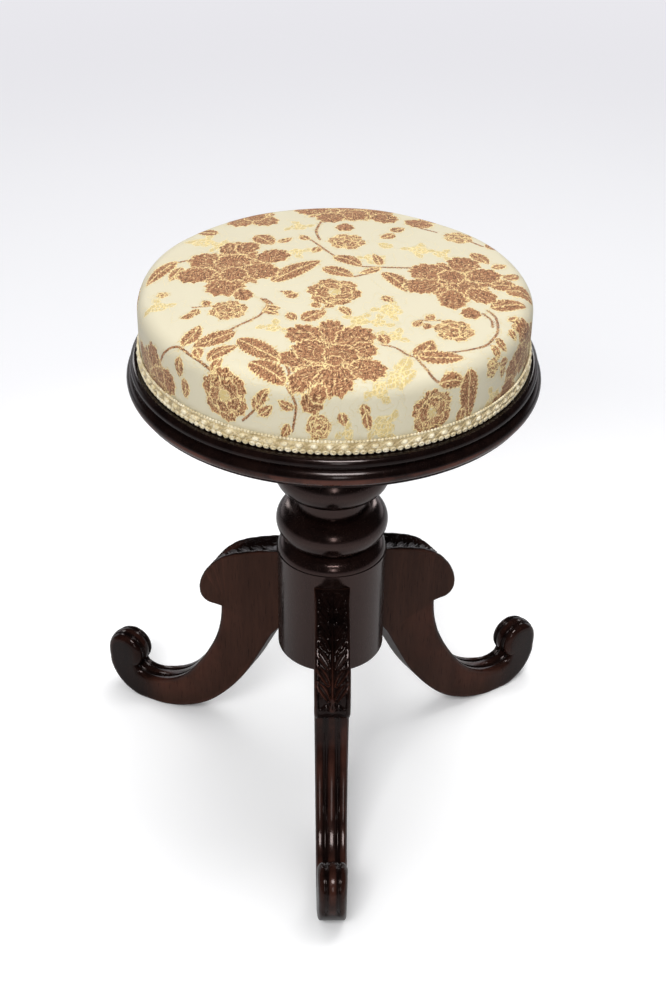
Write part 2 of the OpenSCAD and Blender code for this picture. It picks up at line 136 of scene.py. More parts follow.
class ShaderGraph:
    """Adds nodes to one node tree and joins them."""

    def __init__(self, tree: bpy.types.NodeTree) -> None:
        """Keeps the tree."""
        self.tree = tree

    def add(self, kind: str, feeds: dict | None = None, **settings: object) -> bpy.types.Node:
        """Adds one node.

        Args:
            kind: Blender's name of the node type.
            feeds: Input name or number to a value or to a socket that feeds it.
            **settings: Properties of the node.

        Returns:
            The new node.
        """
        node = self.tree.nodes.new(kind)
        for name, value in settings.items():
            setattr(node, name, value)
        self.feed(node, feeds or {})
        return node

    def feed(self, node: bpy.types.Node, feeds: dict) -> None:
        """Links a node's inputs to other sockets, or sets their own values.

        Args:
            node: Node of the graph.
            feeds: Values or outputs by the name or number of their socket.
        """
        for name, value in feeds.items():
            if isinstance(value, Value):
                self.tree.links.new(value.socket, node.inputs[name])
            else:
                node.inputs[name].default_value = value

    def value(self, kind: str, feeds: dict | None = None, output: int | str = 0, **settings: object) -> Value:
        """Adds one node and returns one of its outputs.

        Args:
            kind: Blender's name of the node type.
            feeds: Input name or number to a value or to a socket that feeds it.
            output: Name or number of the output.
            **settings: Properties of the node.

        Returns:
            The output.
        """
        return Value(self, self.add(kind, feeds, **settings).outputs[output])

    def math(self, operation: str, *terms: object) -> Value:
        """Adds a Math node on up to three values or sockets."""
        return self.value("ShaderNodeMath", dict(enumerate(terms)), operation=operation)

    def band(self, value: Value, low: float, high: float) -> Value:
        """Rises smoothly from 0 to 1 as value goes from low to high.

        Returns:
            The mesh.
        """
        feeds = {"Value": value, "From Min": low, "From Max": high}
        return self.value("ShaderNodeMapRange", feeds, "Result", interpolation_type="SMOOTHSTEP")

    def blend(self, share: Value | float, first: object, second: object) -> Value:
        """Mixes two colours.

        Args:
            share: Share of the second colour.
            first: Colour at 0.
            second: Colour at 1.

        Returns:
            The mixed colour.
        """
        feeds = {0: share, 6: first, 7: second}
        return self.value("ShaderNodeMix", feeds, 2, data_type="RGBA", clamp_factor=True)

    def scaled(self, vector: Value, x: float, y: float, z: float) -> Value:
        """Scales a vector by three factors."""
        return self.value("ShaderNodeVectorMath", {0: vector, 1: (x, y, z)}, operation="MULTIPLY")

    def noise(
        self,
        place: Value,
        scale: Value | float,
        detail: float = 2.0,
        roughness: float = 0.5,
        distortion: float = 0.0,
    ) -> Value:
        """Reads a noise from 0 to 1.

        Args:
            place: Position.
            scale: Its scale.
            detail: Its finer octaves.
            roughness: Their strength.
            distortion: How much it is bent.

        Returns:
            The noise.
        """
        feeds = {
            "Vector": place,
            "Scale": scale,
            "Detail": detail,
            "Roughness": roughness,
            "Distortion": distortion,
        }
        return self.value("ShaderNodeTexNoise", feeds)

    def bump(self, height: Value, strength: float, depth: float) -> Value:
        """Turns a height into a normal, at a strength and a depth in metres."""
        return self.value("ShaderNodeBump", {"Height": height, "Strength": strength, "Distance": depth})

    def attribute(self, name: str) -> Value:
        """Reads one of the mesh's point attributes."""
        return self.value("ShaderNodeAttribute", output="Fac", attribute_name=name)

    def place(self) -> Value:
        """The position in the piece's own coordinates, in metres."""
        return self.value("ShaderNodeTexCoord", output="Object")


def node_group(name: str, setting: str, default: float, outputs: Sequence[str]) -> tuple:
    """Starts a shader node group that reads a position and one number.

    Args:
        name: The group's name.
        setting: Name of the number.
        default: Its default.
        outputs: Names of the float outputs.

    Returns:
        A graph on the group, the position, the number and the output node.
    """
    group = bpy.data.node_groups.new(name, "ShaderNodeTree")
    group.interface.new_socket(name="Vector", in_out="INPUT", socket_type="NodeSocketVector")
    number = group.interface.new_socket(name=setting, in_out="INPUT", socket_type="NodeSocketFloat")
    number.default_value = default
    for label in outputs:
        group.interface.new_socket(name=label, in_out="OUTPUT", socket_type="NodeSocketFloat")
    graph = ShaderGraph(group)
    start = graph.add("NodeGroupInput").outputs
    return graph, Value(graph, start[0]), Value(graph, start[1]), graph.add("NodeGroupOutput")


class Effects:
    """Node groups that several finishes share, each built once."""

    def __init__(self) -> None:
        """Builds the groups."""
        self.grain = self._grain()
        self.threads = self._threads()
        self.mottle = self._mottle()

    @staticmethod
    def use(graph: ShaderGraph, group: bpy.types.NodeTree, feeds: dict) -> dict[str, Value]:
        """Places a group in a material.

        Args:
            graph: The material's graph.
            group: The group to place.
            feeds: Values or sockets of its inputs.

        Returns:
            Its outputs by name.
        """
        node = graph.add("ShaderNodeGroup", node_tree=group)
        graph.feed(node, feeds)
        return {socket.name: Value(graph, socket) for socket in node.outputs}

    @staticmethod
    def _grain() -> bpy.types.NodeTree:
        """Wood grain: long figure lines and short dark pores, on a position in metres.

        Returns:
            The group.
        """
        g, place, lines, end = node_group("wood_grain", "Lines", 90.0, ("Figure", "Pores"))
        place = g.value("ShaderNodeVectorMath", {0: place, "Scale": lines}, operation="SCALE")
        along = g.scaled(place, 1.0, 1.0, 0.12)
        figure = g.noise(along, 0.6, 3.0) * 0.55 + g.noise(along, 3.2, 6.0, 0.6) * 0.45
        pores = g.noise(g.scaled(place, 9.0, 9.0, 0.55), 1.4)
        g.feed(end, {"Figure": g.band(figure, 0.35, 0.66), "Pores": g.band(pores, 0.6, 0.7)})
        return g.tree

    @staticmethod
    def _threads() -> bpy.types.NodeTree:
        """Woven threads on a flat position in millimetres: a rib height and an uneven twist.

        Returns:
            The group.
        """
        g, place, pitch, end = node_group("woven_threads", "Pitch", 0.5, ("Rib", "Twist"))
        turn = g.math("DIVIDE", FULL_TURN, pitch)
        parts = g.add("ShaderNodeSeparateXYZ", {0: place}).outputs
        warp, weft = (g.math("SINE", turn * Value(g, part)) for part in parts[:2])
        twist = g.noise(g.scaled(place, 0.55, 1.7, 1.0), 1.0, 3.0, 0.65)
        g.feed(end, {"Rib": warp * weft * 0.5 + 0.5, "Twist": twist})
        return g.tree

    @staticmethod
    def _mottle() -> bpy.types.NodeTree:
        """Uneven handling: broad patches on a position in metres.

        Returns:
            The group.
        """
        g, place, patch, end = node_group("mottle", "Patch", 40.0, ("Patches",))
        g.feed(end, {"Patches": g.band(g.noise(place, patch, 4.0, 0.55), 0.38, 0.66)})
        return g.tree


def new_material(name: str) -> tuple[bpy.types.Material, ShaderGraph, bpy.types.Node]:
    """Starts a node material.

    Args:
        name: The finish's name.

    Returns:
        The material, its graph and its Principled BSDF.
    """
    material = bpy.data.materials.new(name)
    material.use_nodes = True
    material.node_tree.nodes.clear()
    graph = ShaderGraph(material.node_tree)
    shader = graph.add("ShaderNodeBsdfPrincipled")
    graph.add("ShaderNodeOutputMaterial", {"Surface": Value(graph, shader.outputs[0])})
    return material, graph, shader


@dataclass(frozen=True)
class LacqueredWood:
    """Old dark mahogany under a polished shellac, rubbed to red brown on crests and left satin on flat sides;
    on the rim that red brown is partly a painted warm glow beside the highlights.

    Attributes:
        name: Name of the finish.
        dark: Colour of the bulk.
        brown: Colour of the lighter figure.
        worn_and_glow: Colour of rubbed crests, and of the rim's belt, where it is partly a painted warm glow
            beside highlights.
        satin: Colour of the flat sides, which were never polished up.
        figured: How much lighter the satin's figure is.
        pore: Colour of the pores.
        lines: Scale of the grain, per metre.
        patch: Scale of the patches of wear, per metre.
        polish: Roughness of the polished faces.
        dull: Roughness of the flat sides.
        coat: Weight of the shellac over polished faces.
        coat_roughness: Its roughness.
        coat_ior: Its index of refraction.
        specular: Strength of the wood's own sheen.
        tint: Colour of that sheen.
        relief: Depth of the open grain in metres.
        carved: Whether the mesh carries the attributes wear and gloss.
        rubbed_glow_heights: Heights in metres of a red-brown belt on a moulding, partly rubbed wear and
            partly a painted warm glow beside its highlights, or None.
        rubbed_glow_border: Height over which that belt sets in.
    """

    name: str
    dark: Colour = (0.0028, 0.0014, 0.0013, 1.0)
    brown: Colour = (0.0085, 0.0038, 0.003, 1.0)
    worn_and_glow: Colour = (0.1, 0.034, 0.022, 1.0)
    satin: Colour = (0.026, 0.0108, 0.0068, 1.0)
    figured: float = 1.5
    pore: Colour = (0.002, 0.001, 0.001, 1.0)
    lines: float = 90.0
    patch: float = 26.0
    polish: float = 0.17
    dull: float = 0.5
    coat: float = 0.36
    coat_roughness: float = 0.12
    coat_ior: float = 1.42
    specular: float = 0.15
    tint: Colour = (1.0, 0.66, 0.6, 1.0)
    relief: float = 0.0001
    carved: bool = True
    rubbed_glow_heights: Point | None = None
    rubbed_glow_border: float = 0.002

    def build(self, effects: Effects) -> bpy.types.Material:
        """Builds the material from the shared effects.

        Args:
            effects: The shared shader groups.

        Returns:
            The material.
        """
        material, g, shader = new_material(self.name)
        place = g.place()
        grain = effects.use(g, effects.grain, {"Vector": place, "Lines": self.lines})
        figure, pores = grain["Figure"], grain["Pores"]
        patches = effects.use(g, effects.mottle, {"Vector": place, "Patch": self.patch})["Patches"]
        colour = g.blend(figure, self.dark, self.brown)
        rough = patches * 0.06 + self.polish
        coat: Value | float = self.coat
        if self.carved:
            gloss = g.attribute("gloss")
            lighter = tuple(c * self.figured for c in self.satin[:3]) + (1.0,)
            colour = g.blend(gloss, g.blend(figure, self.satin, lighter), colour)
            rough = rough + (1.0 - gloss) * (self.dull - self.polish)
            colour = g.blend(g.attribute("wear") * (patches * 0.5 + 0.1), colour, self.worn_and_glow)
            coat = gloss * self.coat
        # Red-brown belt on the rim: partly rubbed wear, partly a painted warm glow beside the rim's
        # highlights.
        if self.rubbed_glow_heights:
            low, high = self.rubbed_glow_heights
            height = g.value("ShaderNodeSeparateXYZ", {0: place}, "Z")
            belt = g.band(height, low, low + self.rubbed_glow_border)
            belt = belt * g.band(height, high, high - self.rubbed_glow_border)
            colour = g.blend(belt * (patches * 0.6 + 0.15), colour, self.worn_and_glow)
        g.feed(
            shader,
            {
                "Base Color": g.blend(pores * 0.5, colour, self.pore),
                "Roughness": pores * 0.1 + rough,
                "Normal": g.bump(figure * 0.25 - pores, 0.12, self.relief),
                "Specular IOR Level": self.specular,
                "Specular Tint": self.tint,
                "Coat Weight": coat,
                "Coat Roughness": self.coat_roughness,
                "Coat IOR": self.coat_ior,
            },
        )
        return material


@dataclass(frozen=True)
class Brocade:
    """Floral jacquard: copper yarn and gold thread on an ivory satin ground.

    Attributes:
        name: Name of the finish.
        ivory: Colour of the ground.
        shade: Colour of the ground's darker threads.
        copper: Colour of the figure.
        copper_dark: Colour of its deeper strokes.
        gold: Colour of the gold thread on the figure.
        gilt: Colour of the gold thread on the ground.
        pitch: Distance of the threads in millimetres.
        slant: Angle of the slanting strokes in radians.
        ragged: How far the figure's edge wanders, in millimetres.
        relief: Depth of the weave in metres.
    """

    name: str = "floral_jacquard"
    ivory: Colour = srgb(214, 206, 181)
    shade: Colour = srgb(198, 190, 160)
    copper: Colour = srgb(172, 121, 84)
    copper_dark: Colour = srgb(98, 63, 40)
    gold: Colour = srgb(240, 220, 160)
    gilt: Colour = srgb(204, 181, 122)
    pitch: float = 0.62
    slant: float = 0.95
    ragged: float = 1.3
    relief: float = 0.0005

    def build(self, effects: Effects) -> bpy.types.Material:
        """Builds the material from the shared effects.

        Args:
            effects: The shared shader groups.

        Returns:
            The material.
        """
        material, g, shader = new_material(self.name)
        flat = g.scaled(g.value("ShaderNodeUVMap", uv_map="cloth"), CLOTH_MM, CLOTH_MM, 0.0)
        threads = effects.use(g, effects.threads, {"Vector": flat, "Pitch": self.pitch})
        figure, edge, ribs, gilded = (g.attribute(name) for name in ("figure", "edge", "ribs", "gilt"))
        ragged = g.noise(flat, 0.95) * (2.0 * self.ragged) - self.ragged
        filled = g.band(figure + ragged, -0.15, 0.2)
        gilt = g.band(gilded + ragged, -0.15, 0.25)
        # Yarn: strokes of two directions in patches, hatched along the ribs and deeper at the seams.
        patches = g.noise(flat, 0.09, 1.0)
        feeds = {"Vector": flat, "Angle": self.slant}
        turned = g.value("ShaderNodeVectorRotate", feeds, rotation_type="Z_AXIS")
        upright, slanting = self._strokes(g, flat, 0.95, 0.34), self._strokes(g, turned, 0.9, 0.36)
        feeds = {0: g.band(patches, 0.46, 0.54), 2: upright, 3: slanting}
        strokes = g.value("ShaderNodeMix", feeds, data_type="FLOAT")
        yarn = g.math("SINE", ribs * 2.9) * 0.035 + strokes
        yarn = yarn + (g.band(abs(edge), 0.4, 2.4) * -0.055 + 0.03)
        colour = g.blend(g.band(yarn, 0.4, 0.49), self.copper_dark, self.copper)
        colour = g.blend(g.band(yarn, 0.57, 0.65), colour, self.gold)
        # Gold outlines, a loose fringe round the figure, and shapes worked in gold alone.
        lined = g.band(abs(edge + ragged * 0.45), 0.62, 0.2) * g.band(strokes, 0.36, 0.46)
        fringe = g.band(figure, -4.2, -1.0) * g.band(strokes, 0.53, 0.59) * g.band(patches, 0.42, 0.56)
        ground = g.blend(threads["Twist"] * 0.5, self.ivory, self.shade)
        ground = g.blend(gilt * g.band(strokes, 0.4, 0.47), ground, self.gilt)
        ground = g.blend(fringe * 0.95, ground, self.gilt)
        worked = g.math("MAXIMUM", filled, g.math("MAXIMUM", lined, gilt))
        height = threads["Rib"] * 0.12 + worked * 0.5 + yarn * worked * 1.4
        g.feed(
            shader,
            {
                "Base Color": g.blend(lined * 0.8, g.blend(filled, ground, colour), self.gold),
                "Roughness": worked * 0.12 + 0.55,
                "Normal": g.bump(height, 0.6, self.relief),
                "Specular IOR Level": 0.3,
                "Sheen Weight": 0.12,
                "Sheen Roughness": 0.4,
            },
        )
        return material

    @staticmethod
    def _strokes(g: ShaderGraph, place: Value, across: float, along: float) -> Value:
        """Uneven yarn strokes, across and along per millimetre."""
        return g.noise(g.scaled(place, across, along, 1.0), 1.0, 2.0, 0.6, 1.1)


@dataclass(frozen=True)
class PlainFinish:
    """A plain material with grain, patches and fine relief.

    Attributes:
        name: Name of the finish.
        light: Lighter colour.
        deep: Darker colour.
        metallic: Whether it is metal.
        roughness: Middle roughness.
        grain: Fineness of the relief, per metre.
        relief: Strength of the relief.
        stretch: Scale of the relief along X, Y and Z.
        depth: Depth of the relief in metres.
        detail: Octaves of the grain.
        roughened: Strength of the finer octaves.
        patch: Scale of the patches, per metre.
        patch_share: Share of the patches in the tone, the rest being grain.
        tones: Tones at which the deep and the light colour are reached.
        sheen: Weight of the sheen.
    """

    name: str
    light: Colour
    deep: Colour
    metallic: float = 0.0
    roughness: float = 0.5
    grain: float = 400.0
    relief: float = 0.4
    stretch: Point3 = (1.0, 1.0, 1.0)
    depth: float = 0.0004
    detail: float = 4.0
    roughened: float = 0.5
    patch: float = 60.0
    patch_share: float = 0.45
    tones: Point = (0.2, 0.8)
    sheen: float = 0.0

    def build(self, effects: Effects) -> bpy.types.Material:
        """Builds the material from the shared effects.

        Args:
            effects: The shared shader groups.

        Returns:
            The material.
        """
        material, g, shader = new_material(self.name)
        place = g.place()
        patches = effects.use(g, effects.mottle, {"Vector": place, "Patch": self.patch})["Patches"]
        fine = g.noise(g.scaled(place, *self.stretch), self.grain, self.detail, self.roughened)
        tone = patches * self.patch_share + fine * (1.0 - self.patch_share)
        g.feed(
            shader,
            {
                "Base Color": g.blend(g.band(tone, *self.tones), self.deep, self.light),
                "Roughness": fine * 0.2 + (self.roughness - 0.1),
                "Normal": g.bump(fine, self.relief, self.depth),
                "Metallic": self.metallic,
                "Sheen Weight": self.sheen,
            },
        )
        return material


@dataclass(frozen=True)
class SilkCord(PlainFinish):
    """Twisted silk of the braid, pale on its crests and golden in its depths."""

    roughness: float = 0.42
    grain: float = 950.0
    relief: float = 0.5
    depth: float = 0.0003
    detail: float = 3.0
    roughened: float = 0.6
    patch: float = 140.0
    patch_share: float = 0.25
    tones: Point = (0.3, 0.72)
    sheen: float = 0.3


# ---- Mesh tools


def finish_mesh(
    name: str,
    bm: bmesh.types.BMesh,
    material: bpy.types.Material,
    body: Body,
    replaced: Sequence[str] = (),
    sharp_degrees: float = 50.0,
) -> bpy.types.Object:
    """Turns a bmesh in metres into a finished piece that rides on a body.

    Args:
        name: The piece's name.
        bm: The mesh, freed here.
        material: Its material.
        body: The body that it rides on.
        replaced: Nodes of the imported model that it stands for.
        sharp_degrees: Angle above which an edge stays sharp.

    Returns:
        The new object.
    """
    mesh = bpy.data.meshes.new(name)
    bm.to_mesh(mesh)
    bm.free()
    mesh.materials.append(material)
    mesh.polygons.foreach_set("use_smooth", [True] * len(mesh.polygons))
    mesh.set_sharp_from_angle(angle=math.radians(sharp_degrees))
    piece = bpy.data.objects.new(name, mesh)
    bpy.context.scene.collection.objects.link(piece)
    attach(piece, body.value)
    if replaced:
        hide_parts(*replaced)
    LOG.info("%s: %d vertices, %d faces", name, len(mesh.vertices), len(mesh.polygons))
    return piece


def dress_node(node: str, material: bpy.types.Material) -> None:
    """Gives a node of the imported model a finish."""
    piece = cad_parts[node]
    piece.data.materials.clear()
    piece.data.materials.append(material)


def arc(centre: Point, radius: float, start: float, end: float, step: float) -> list[tuple[Point, Point]]:
    """Points of an arc with their outward directions.

    Args:
        centre: Centre of the arc.
        radius: Radius.
        start: Angle of the first point in degrees.
        end: Angle of the last point.
        step: Wanted distance between points.

    Returns:
        Pairs of a point and the direction away from the centre.
    """
    count = max(2, math.ceil(abs(math.radians(end - start)) * radius / step))
    result = []
    for i in range(count + 1):
        a = math.radians(start + (end - start) * i / count)
        out = (math.cos(a), math.sin(a))
        result.append(((centre[0] + radius * out[0], centre[1] + radius * out[1]), out))
    return result


def on_circle(centre: Point, radius: float, degrees: float) -> Point:
    """The point of a circle at an angle."""
    a = math.radians(degrees)
    return (centre[0] + radius * math.cos(a), centre[1] + radius * math.sin(a))


def next_centre(centre: Point, radius: float, degrees: float, next_radius: float) -> Point:
    """Centre of an arc of next_radius that leaves another at the given angle in its direction."""
    return on_circle(centre, radius - next_radius, degrees)


def chain(bm: bmesh.types.BMesh, points: Iterable[Point]) -> list:
    """Adds a profile in the XZ plane, given in millimetres.

    Args:
        bm: Mesh to add to.
        points: Distance from the axis and height of each point.

    Returns:
        The new vertices and edges.
    """
    verts = [bm.verts.new((x * MM, 0.0, z * MM)) for x, z in points]
    edges = [bm.edges.new(pair) for pair in zip(verts, verts[1:])]
    return verts + edges


def spin_profile(bm: bmesh.types.BMesh, points: Iterable[Point], steps: int = 144) -> None:
    """Turns a profile about the Z axis into a closed form.

    Args:
        bm: Mesh to add to.
        points: The profile in millimetres.
        steps: Faces round the form.
    """
    bmesh.ops.spin(
        bm,
        geom=chain(bm, points),
        cent=(0.0, 0.0, 0.0),
        axis=(0.0, 0.0, 1.0),
        angle=FULL_TURN,
        steps=steps,
        use_merge=True,
        use_normal_flip=False,
    )
    bmesh.ops.remove_doubles(bm, verts=bm.verts, dist=1e-6)
    bmesh.ops.recalc_face_normals(bm, faces=bm.faces)


# ---- Legs


class Zone(Enum):
    """Stretches of a leg's outline."""

    ROOT = 0
    SOLE = 1
    TOE = 2
    SCROLL = 3
    HOLLOW = 4
    LOBE = 5
    KNEE = 6


LEAF_ZONES = (Zone.LOBE, Zone.KNEE)
REEDED_ZONES = (Zone.HOLLOW, Zone.SCROLL, Zone.TOE)
OUTLINE_STEPS = {
    Zone.SOLE: 4.0,
    Zone.TOE: 1.8,
    Zone.SCROLL: 1.5,
    Zone.HOLLOW: 2.2,
    Zone.LOBE: 0.8,
    Zone.KNEE: 0.85,
}


@dataclass(frozen=True)
class Station:
    """One point of a leg's outline: its place, outward direction, zone and distance along the knee."""

    x: float
    z: float
    nx: float
    nz: float
    zone: Zone
    along: float


@dataclass(frozen=True)
class Leaflet:
    """One carved leaflet of the knee.

    Attributes:
        start: Distance along the knee where it leaves the vein.
        length: Its length.
        reach: How far its tip lies from the middle of the knee.
        width: Half its width.
    """

    start: float
    length: float
    reach: float
    width: float


@dataclass
class ScrollLeg:
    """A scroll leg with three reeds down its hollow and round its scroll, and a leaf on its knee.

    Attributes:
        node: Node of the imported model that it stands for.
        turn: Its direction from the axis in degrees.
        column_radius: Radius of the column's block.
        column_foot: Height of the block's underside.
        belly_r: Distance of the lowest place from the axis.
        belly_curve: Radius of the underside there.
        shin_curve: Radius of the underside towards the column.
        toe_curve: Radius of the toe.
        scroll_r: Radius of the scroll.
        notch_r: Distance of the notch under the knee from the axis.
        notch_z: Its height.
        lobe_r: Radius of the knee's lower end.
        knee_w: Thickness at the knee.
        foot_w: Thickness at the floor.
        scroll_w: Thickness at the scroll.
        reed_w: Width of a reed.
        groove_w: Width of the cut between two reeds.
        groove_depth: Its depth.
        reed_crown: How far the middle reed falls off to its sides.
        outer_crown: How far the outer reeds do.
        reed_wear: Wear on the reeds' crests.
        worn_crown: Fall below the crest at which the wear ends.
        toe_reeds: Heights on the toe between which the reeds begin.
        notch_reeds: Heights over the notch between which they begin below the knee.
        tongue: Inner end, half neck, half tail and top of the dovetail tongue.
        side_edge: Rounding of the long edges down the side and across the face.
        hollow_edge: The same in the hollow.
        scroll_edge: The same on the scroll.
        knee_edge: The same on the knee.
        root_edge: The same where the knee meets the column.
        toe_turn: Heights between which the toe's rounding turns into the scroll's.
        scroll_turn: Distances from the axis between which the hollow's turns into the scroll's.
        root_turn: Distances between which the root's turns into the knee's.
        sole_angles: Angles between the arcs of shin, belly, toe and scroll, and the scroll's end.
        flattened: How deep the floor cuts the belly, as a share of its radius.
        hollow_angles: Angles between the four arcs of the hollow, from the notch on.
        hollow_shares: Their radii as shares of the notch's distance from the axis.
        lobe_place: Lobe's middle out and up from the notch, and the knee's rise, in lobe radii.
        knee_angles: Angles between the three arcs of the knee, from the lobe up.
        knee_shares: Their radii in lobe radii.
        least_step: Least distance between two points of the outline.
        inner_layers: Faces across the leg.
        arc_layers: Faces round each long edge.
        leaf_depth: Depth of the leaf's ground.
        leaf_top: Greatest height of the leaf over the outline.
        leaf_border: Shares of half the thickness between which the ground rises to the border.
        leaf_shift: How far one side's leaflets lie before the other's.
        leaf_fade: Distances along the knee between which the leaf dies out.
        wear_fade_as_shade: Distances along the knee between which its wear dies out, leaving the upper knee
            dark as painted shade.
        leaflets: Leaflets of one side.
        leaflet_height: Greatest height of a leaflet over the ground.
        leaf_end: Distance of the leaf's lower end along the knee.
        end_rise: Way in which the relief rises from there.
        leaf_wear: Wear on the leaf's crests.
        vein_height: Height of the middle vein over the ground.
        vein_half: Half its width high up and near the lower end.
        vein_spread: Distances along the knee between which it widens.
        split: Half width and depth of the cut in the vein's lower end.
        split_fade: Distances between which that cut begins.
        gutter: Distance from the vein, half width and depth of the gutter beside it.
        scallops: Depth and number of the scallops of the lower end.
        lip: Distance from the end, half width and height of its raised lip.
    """

    node: str
    turn: float
    column_radius: float = 48.8
    column_foot: float = 139.6
    belly_r: float = 199.0
    belly_curve: float = 112.0
    shin_curve: float = 239.0
    toe_curve: float = 47.5
    scroll_r: float = 20.4
    notch_r: float = 109.5
    notch_z: float = 152.5
    lobe_r: float = 12.2
    knee_w: float = 32.0
    foot_w: float = 26.6
    scroll_w: float = 24.4
    reed_w: float = 8.4
    groove_w: float = 2.8
    groove_depth: float = 1.5
    reed_crown: float = 0.55
    outer_crown: float = 0.5
    reed_wear: float = 0.55
    worn_crown: float = 0.45
    toe_reeds: Point = (30.5, 33.0)
    notch_reeds: Point = (1.0, -4.0)
    tongue: tuple[float, float, float, float] = (34.2, 7.04, 9.28, 224.7)
    side_edge: Point = (5.0, 2.0)
    hollow_edge: Point = (7.0, 2.5)
    scroll_edge: Point = (8.0, 6.0)
    knee_edge: Point = (3.5, 2.5)
    root_edge: Point = (1.2, 1.2)
    toe_turn: Point = (6.0, 44.0)
    scroll_turn: Point = (172.0, 207.0)
    root_turn: Point = (50.0, 62.0)
    sole_angles: tuple[float, ...] = (206, 224, 270, 365, 588)
    flattened: float = 0.007
    hollow_angles: tuple[float, ...] = (180, 204, 218, 260, 300)
    hollow_shares: tuple[float, ...] = (1.1, 2.1, 0.64, 0.23)
    lobe_place: Point3 = (0.89, 0.88, 0.14)
    knee_angles: tuple[float, ...] = (0, 25, 63, 74)
    knee_shares: Point3 = (3.1, 6.4, 20.5)
    least_step: float = 0.3
    inner_layers: int = 44
    arc_layers: int = 8
    leaf_depth: float = 2.5
    leaf_top: float = 0.2
    leaf_border: Point = (0.7, 0.81)
    leaf_shift: float = 0.9
    leaf_fade: Point = (137.0, 118.0)
    wear_fade_as_shade: Point = (98.0, 62.0)
    leaflets: tuple[Leaflet, ...] = (
        Leaflet(31.5, 16.0, 13.0, 3.5),
        Leaflet(46.0, 16.0, 13.4, 3.6),
        Leaflet(61.0, 16.0, 13.4, 3.7),
        Leaflet(76.0, 16.0, 13.4, 3.6),
        Leaflet(90.5, 16.0, 13.2, 3.5),
        Leaflet(104.5, 16.0, 13.0, 3.4),
        Leaflet(118.0, 15.0, 12.8, 3.2),
    )
    leaflet_height: float = 2.7
    leaf_end: float = 18.5
    end_rise: float = 2.0
    leaf_wear: float = 0.9
    vein_height: float = 2.2
    vein_half: Point = (0.95, 2.85)
    vein_spread: Point = (40.0, 20.0)
    split: Point = (0.6, 1.3)
    split_fade: Point = (33.0, 24.0)
    gutter: Point3 = (1.2, 0.9, 0.8)
    scallops: Point = (3.6, 3.0)
    lip: Point3 = (2.6, 1.5, 2.4)

    def outline(self) -> list[Station]:
        """Runs once round the leg's side view, anticlockwise from the column's foot.

        Returns:
            The outline's stations, without a repeat of the first.
        """
        shin_from, shin_to, lowest, toe_to, scroll_to = self.sole_angles
        flat = self.belly_curve * self.flattened
        belly = (self.belly_r, self.belly_curve - flat)
        shin = next_centre(belly, self.belly_curve, shin_to, self.shin_curve)
        toe = (self.belly_r, self.toe_curve - flat)
        scroll = next_centre(toe, self.toe_curve, toe_to, self.scroll_r)
        angles = self.hollow_angles
        radii = [self.notch_r * share for share in self.hollow_shares]
        centres = [(self.notch_r + radii[0], self.notch_z)]
        for i in range(len(radii) - 1):
            centres.append(next_centre(centres[i], radii[i], angles[i + 1], radii[i + 1]))
        out, up, knee_up = self.lobe_place
        lobe = (self.notch_r + self.lobe_r * out, self.notch_z + self.lobe_r * up)
        knee_angles = self.knee_angles
        knee_radii = [self.lobe_r * share for share in self.knee_shares]
        knees = [(lobe[0] + self.lobe_r - knee_radii[0], lobe[1] + self.lobe_r * knee_up)]
        for i in range(len(knee_radii) - 1):
            knees.append(next_centre(knees[i], knee_radii[i], knee_angles[i + 1], knee_radii[i + 1]))

        stations: list[Station] = []

        def put(points: list[tuple[Point, Point]], zone: Zone, outward: float = 1.0) -> None:
            """Adds a stretch, without repeating the last point.

            Args:
                points: Points and outward angles of the piece.
                zone: Its zone.
                outward: Sign of the angles.
            """
            for (x, z), (nx, nz) in points:
                z = max(z, 0.0)
                if stations and math.dist((x, z), (stations[-1].x, stations[-1].z)) < self.least_step:
                    continue
                along = 0.0
                if zone in LEAF_ZONES and stations[-1].zone in LEAF_ZONES:
                    along = stations[-1].along + math.dist((x, z), (stations[-1].x, stations[-1].z))
                stations.append(Station(x, z, nx * outward, nz * outward, zone, along))

        steps = OUTLINE_STEPS
        put(arc(shin, self.shin_curve, shin_from, shin_to, steps[Zone.SOLE]), Zone.SOLE)
        put(arc(belly, self.belly_curve, shin_to, lowest, steps[Zone.SOLE]), Zone.SOLE)
        put(arc(toe, self.toe_curve, lowest, toe_to, steps[Zone.TOE]), Zone.TOE)
        put(arc(scroll, self.scroll_r, toe_to, scroll_to, steps[Zone.SCROLL]), Zone.SCROLL)
        for i in reversed(range(len(radii))):
            put(arc(centres[i], radii[i], angles[i + 1], angles[i], steps[Zone.HOLLOW]), Zone.HOLLOW, -1.0)
        put(arc(lobe, self.lobe_r, 270, 360, steps[Zone.LOBE]), Zone.LOBE)
        for i, radius in enumerate(knee_radii):
            put(arc(knees[i], radius, knee_angles[i], knee_angles[i + 1], steps[Zone.KNEE]), Zone.KNEE)
        top = stations[-1]
        foot = stations[0]
        slope = -math.tan(math.radians(shin_from + 90))
        low = foot.z + slope * (foot.x - self.column_radius)
        for share in (0.0, 0.25, 0.5, 0.75, 1.0):
            z = top.z + 0.2 + (low - top.z) * share
            stations.append(Station(self.column_radius, z, -1.0, 0.0, Zone.ROOT, 0.0))
        for share in (0.25, 0.5, 0.75):
            x = self.column_radius + (foot.x - self.column_radius) * share
            z = low + (foot.z - low) * share
            stations.append(Station(x, z, foot.nx, foot.nz, Zone.SOLE, 0.0))
        return stations

    def half_width(self, x: float, z: float) -> float:
        """Half the leg's thickness at a place in its side view.

        Args:
            x: Distance from the axis.
            z: Height over the floor.

        Returns:
            Half the thickness.
        """
        reach = self.belly_r + self.toe_curve
        start = self.notch_r + self.lobe_r * 2
        up = min(max(z / (self.notch_z + self.lobe_r), 0.0), 1.0)
        out = min(max((x - start) / (reach - start), 0.0), 1.0)
        by_height = self.foot_w + (self.knee_w - self.foot_w) * up
        by_reach = self.knee_w + (self.scroll_w - self.knee_w) * out
        return min(by_height, by_reach) / 2

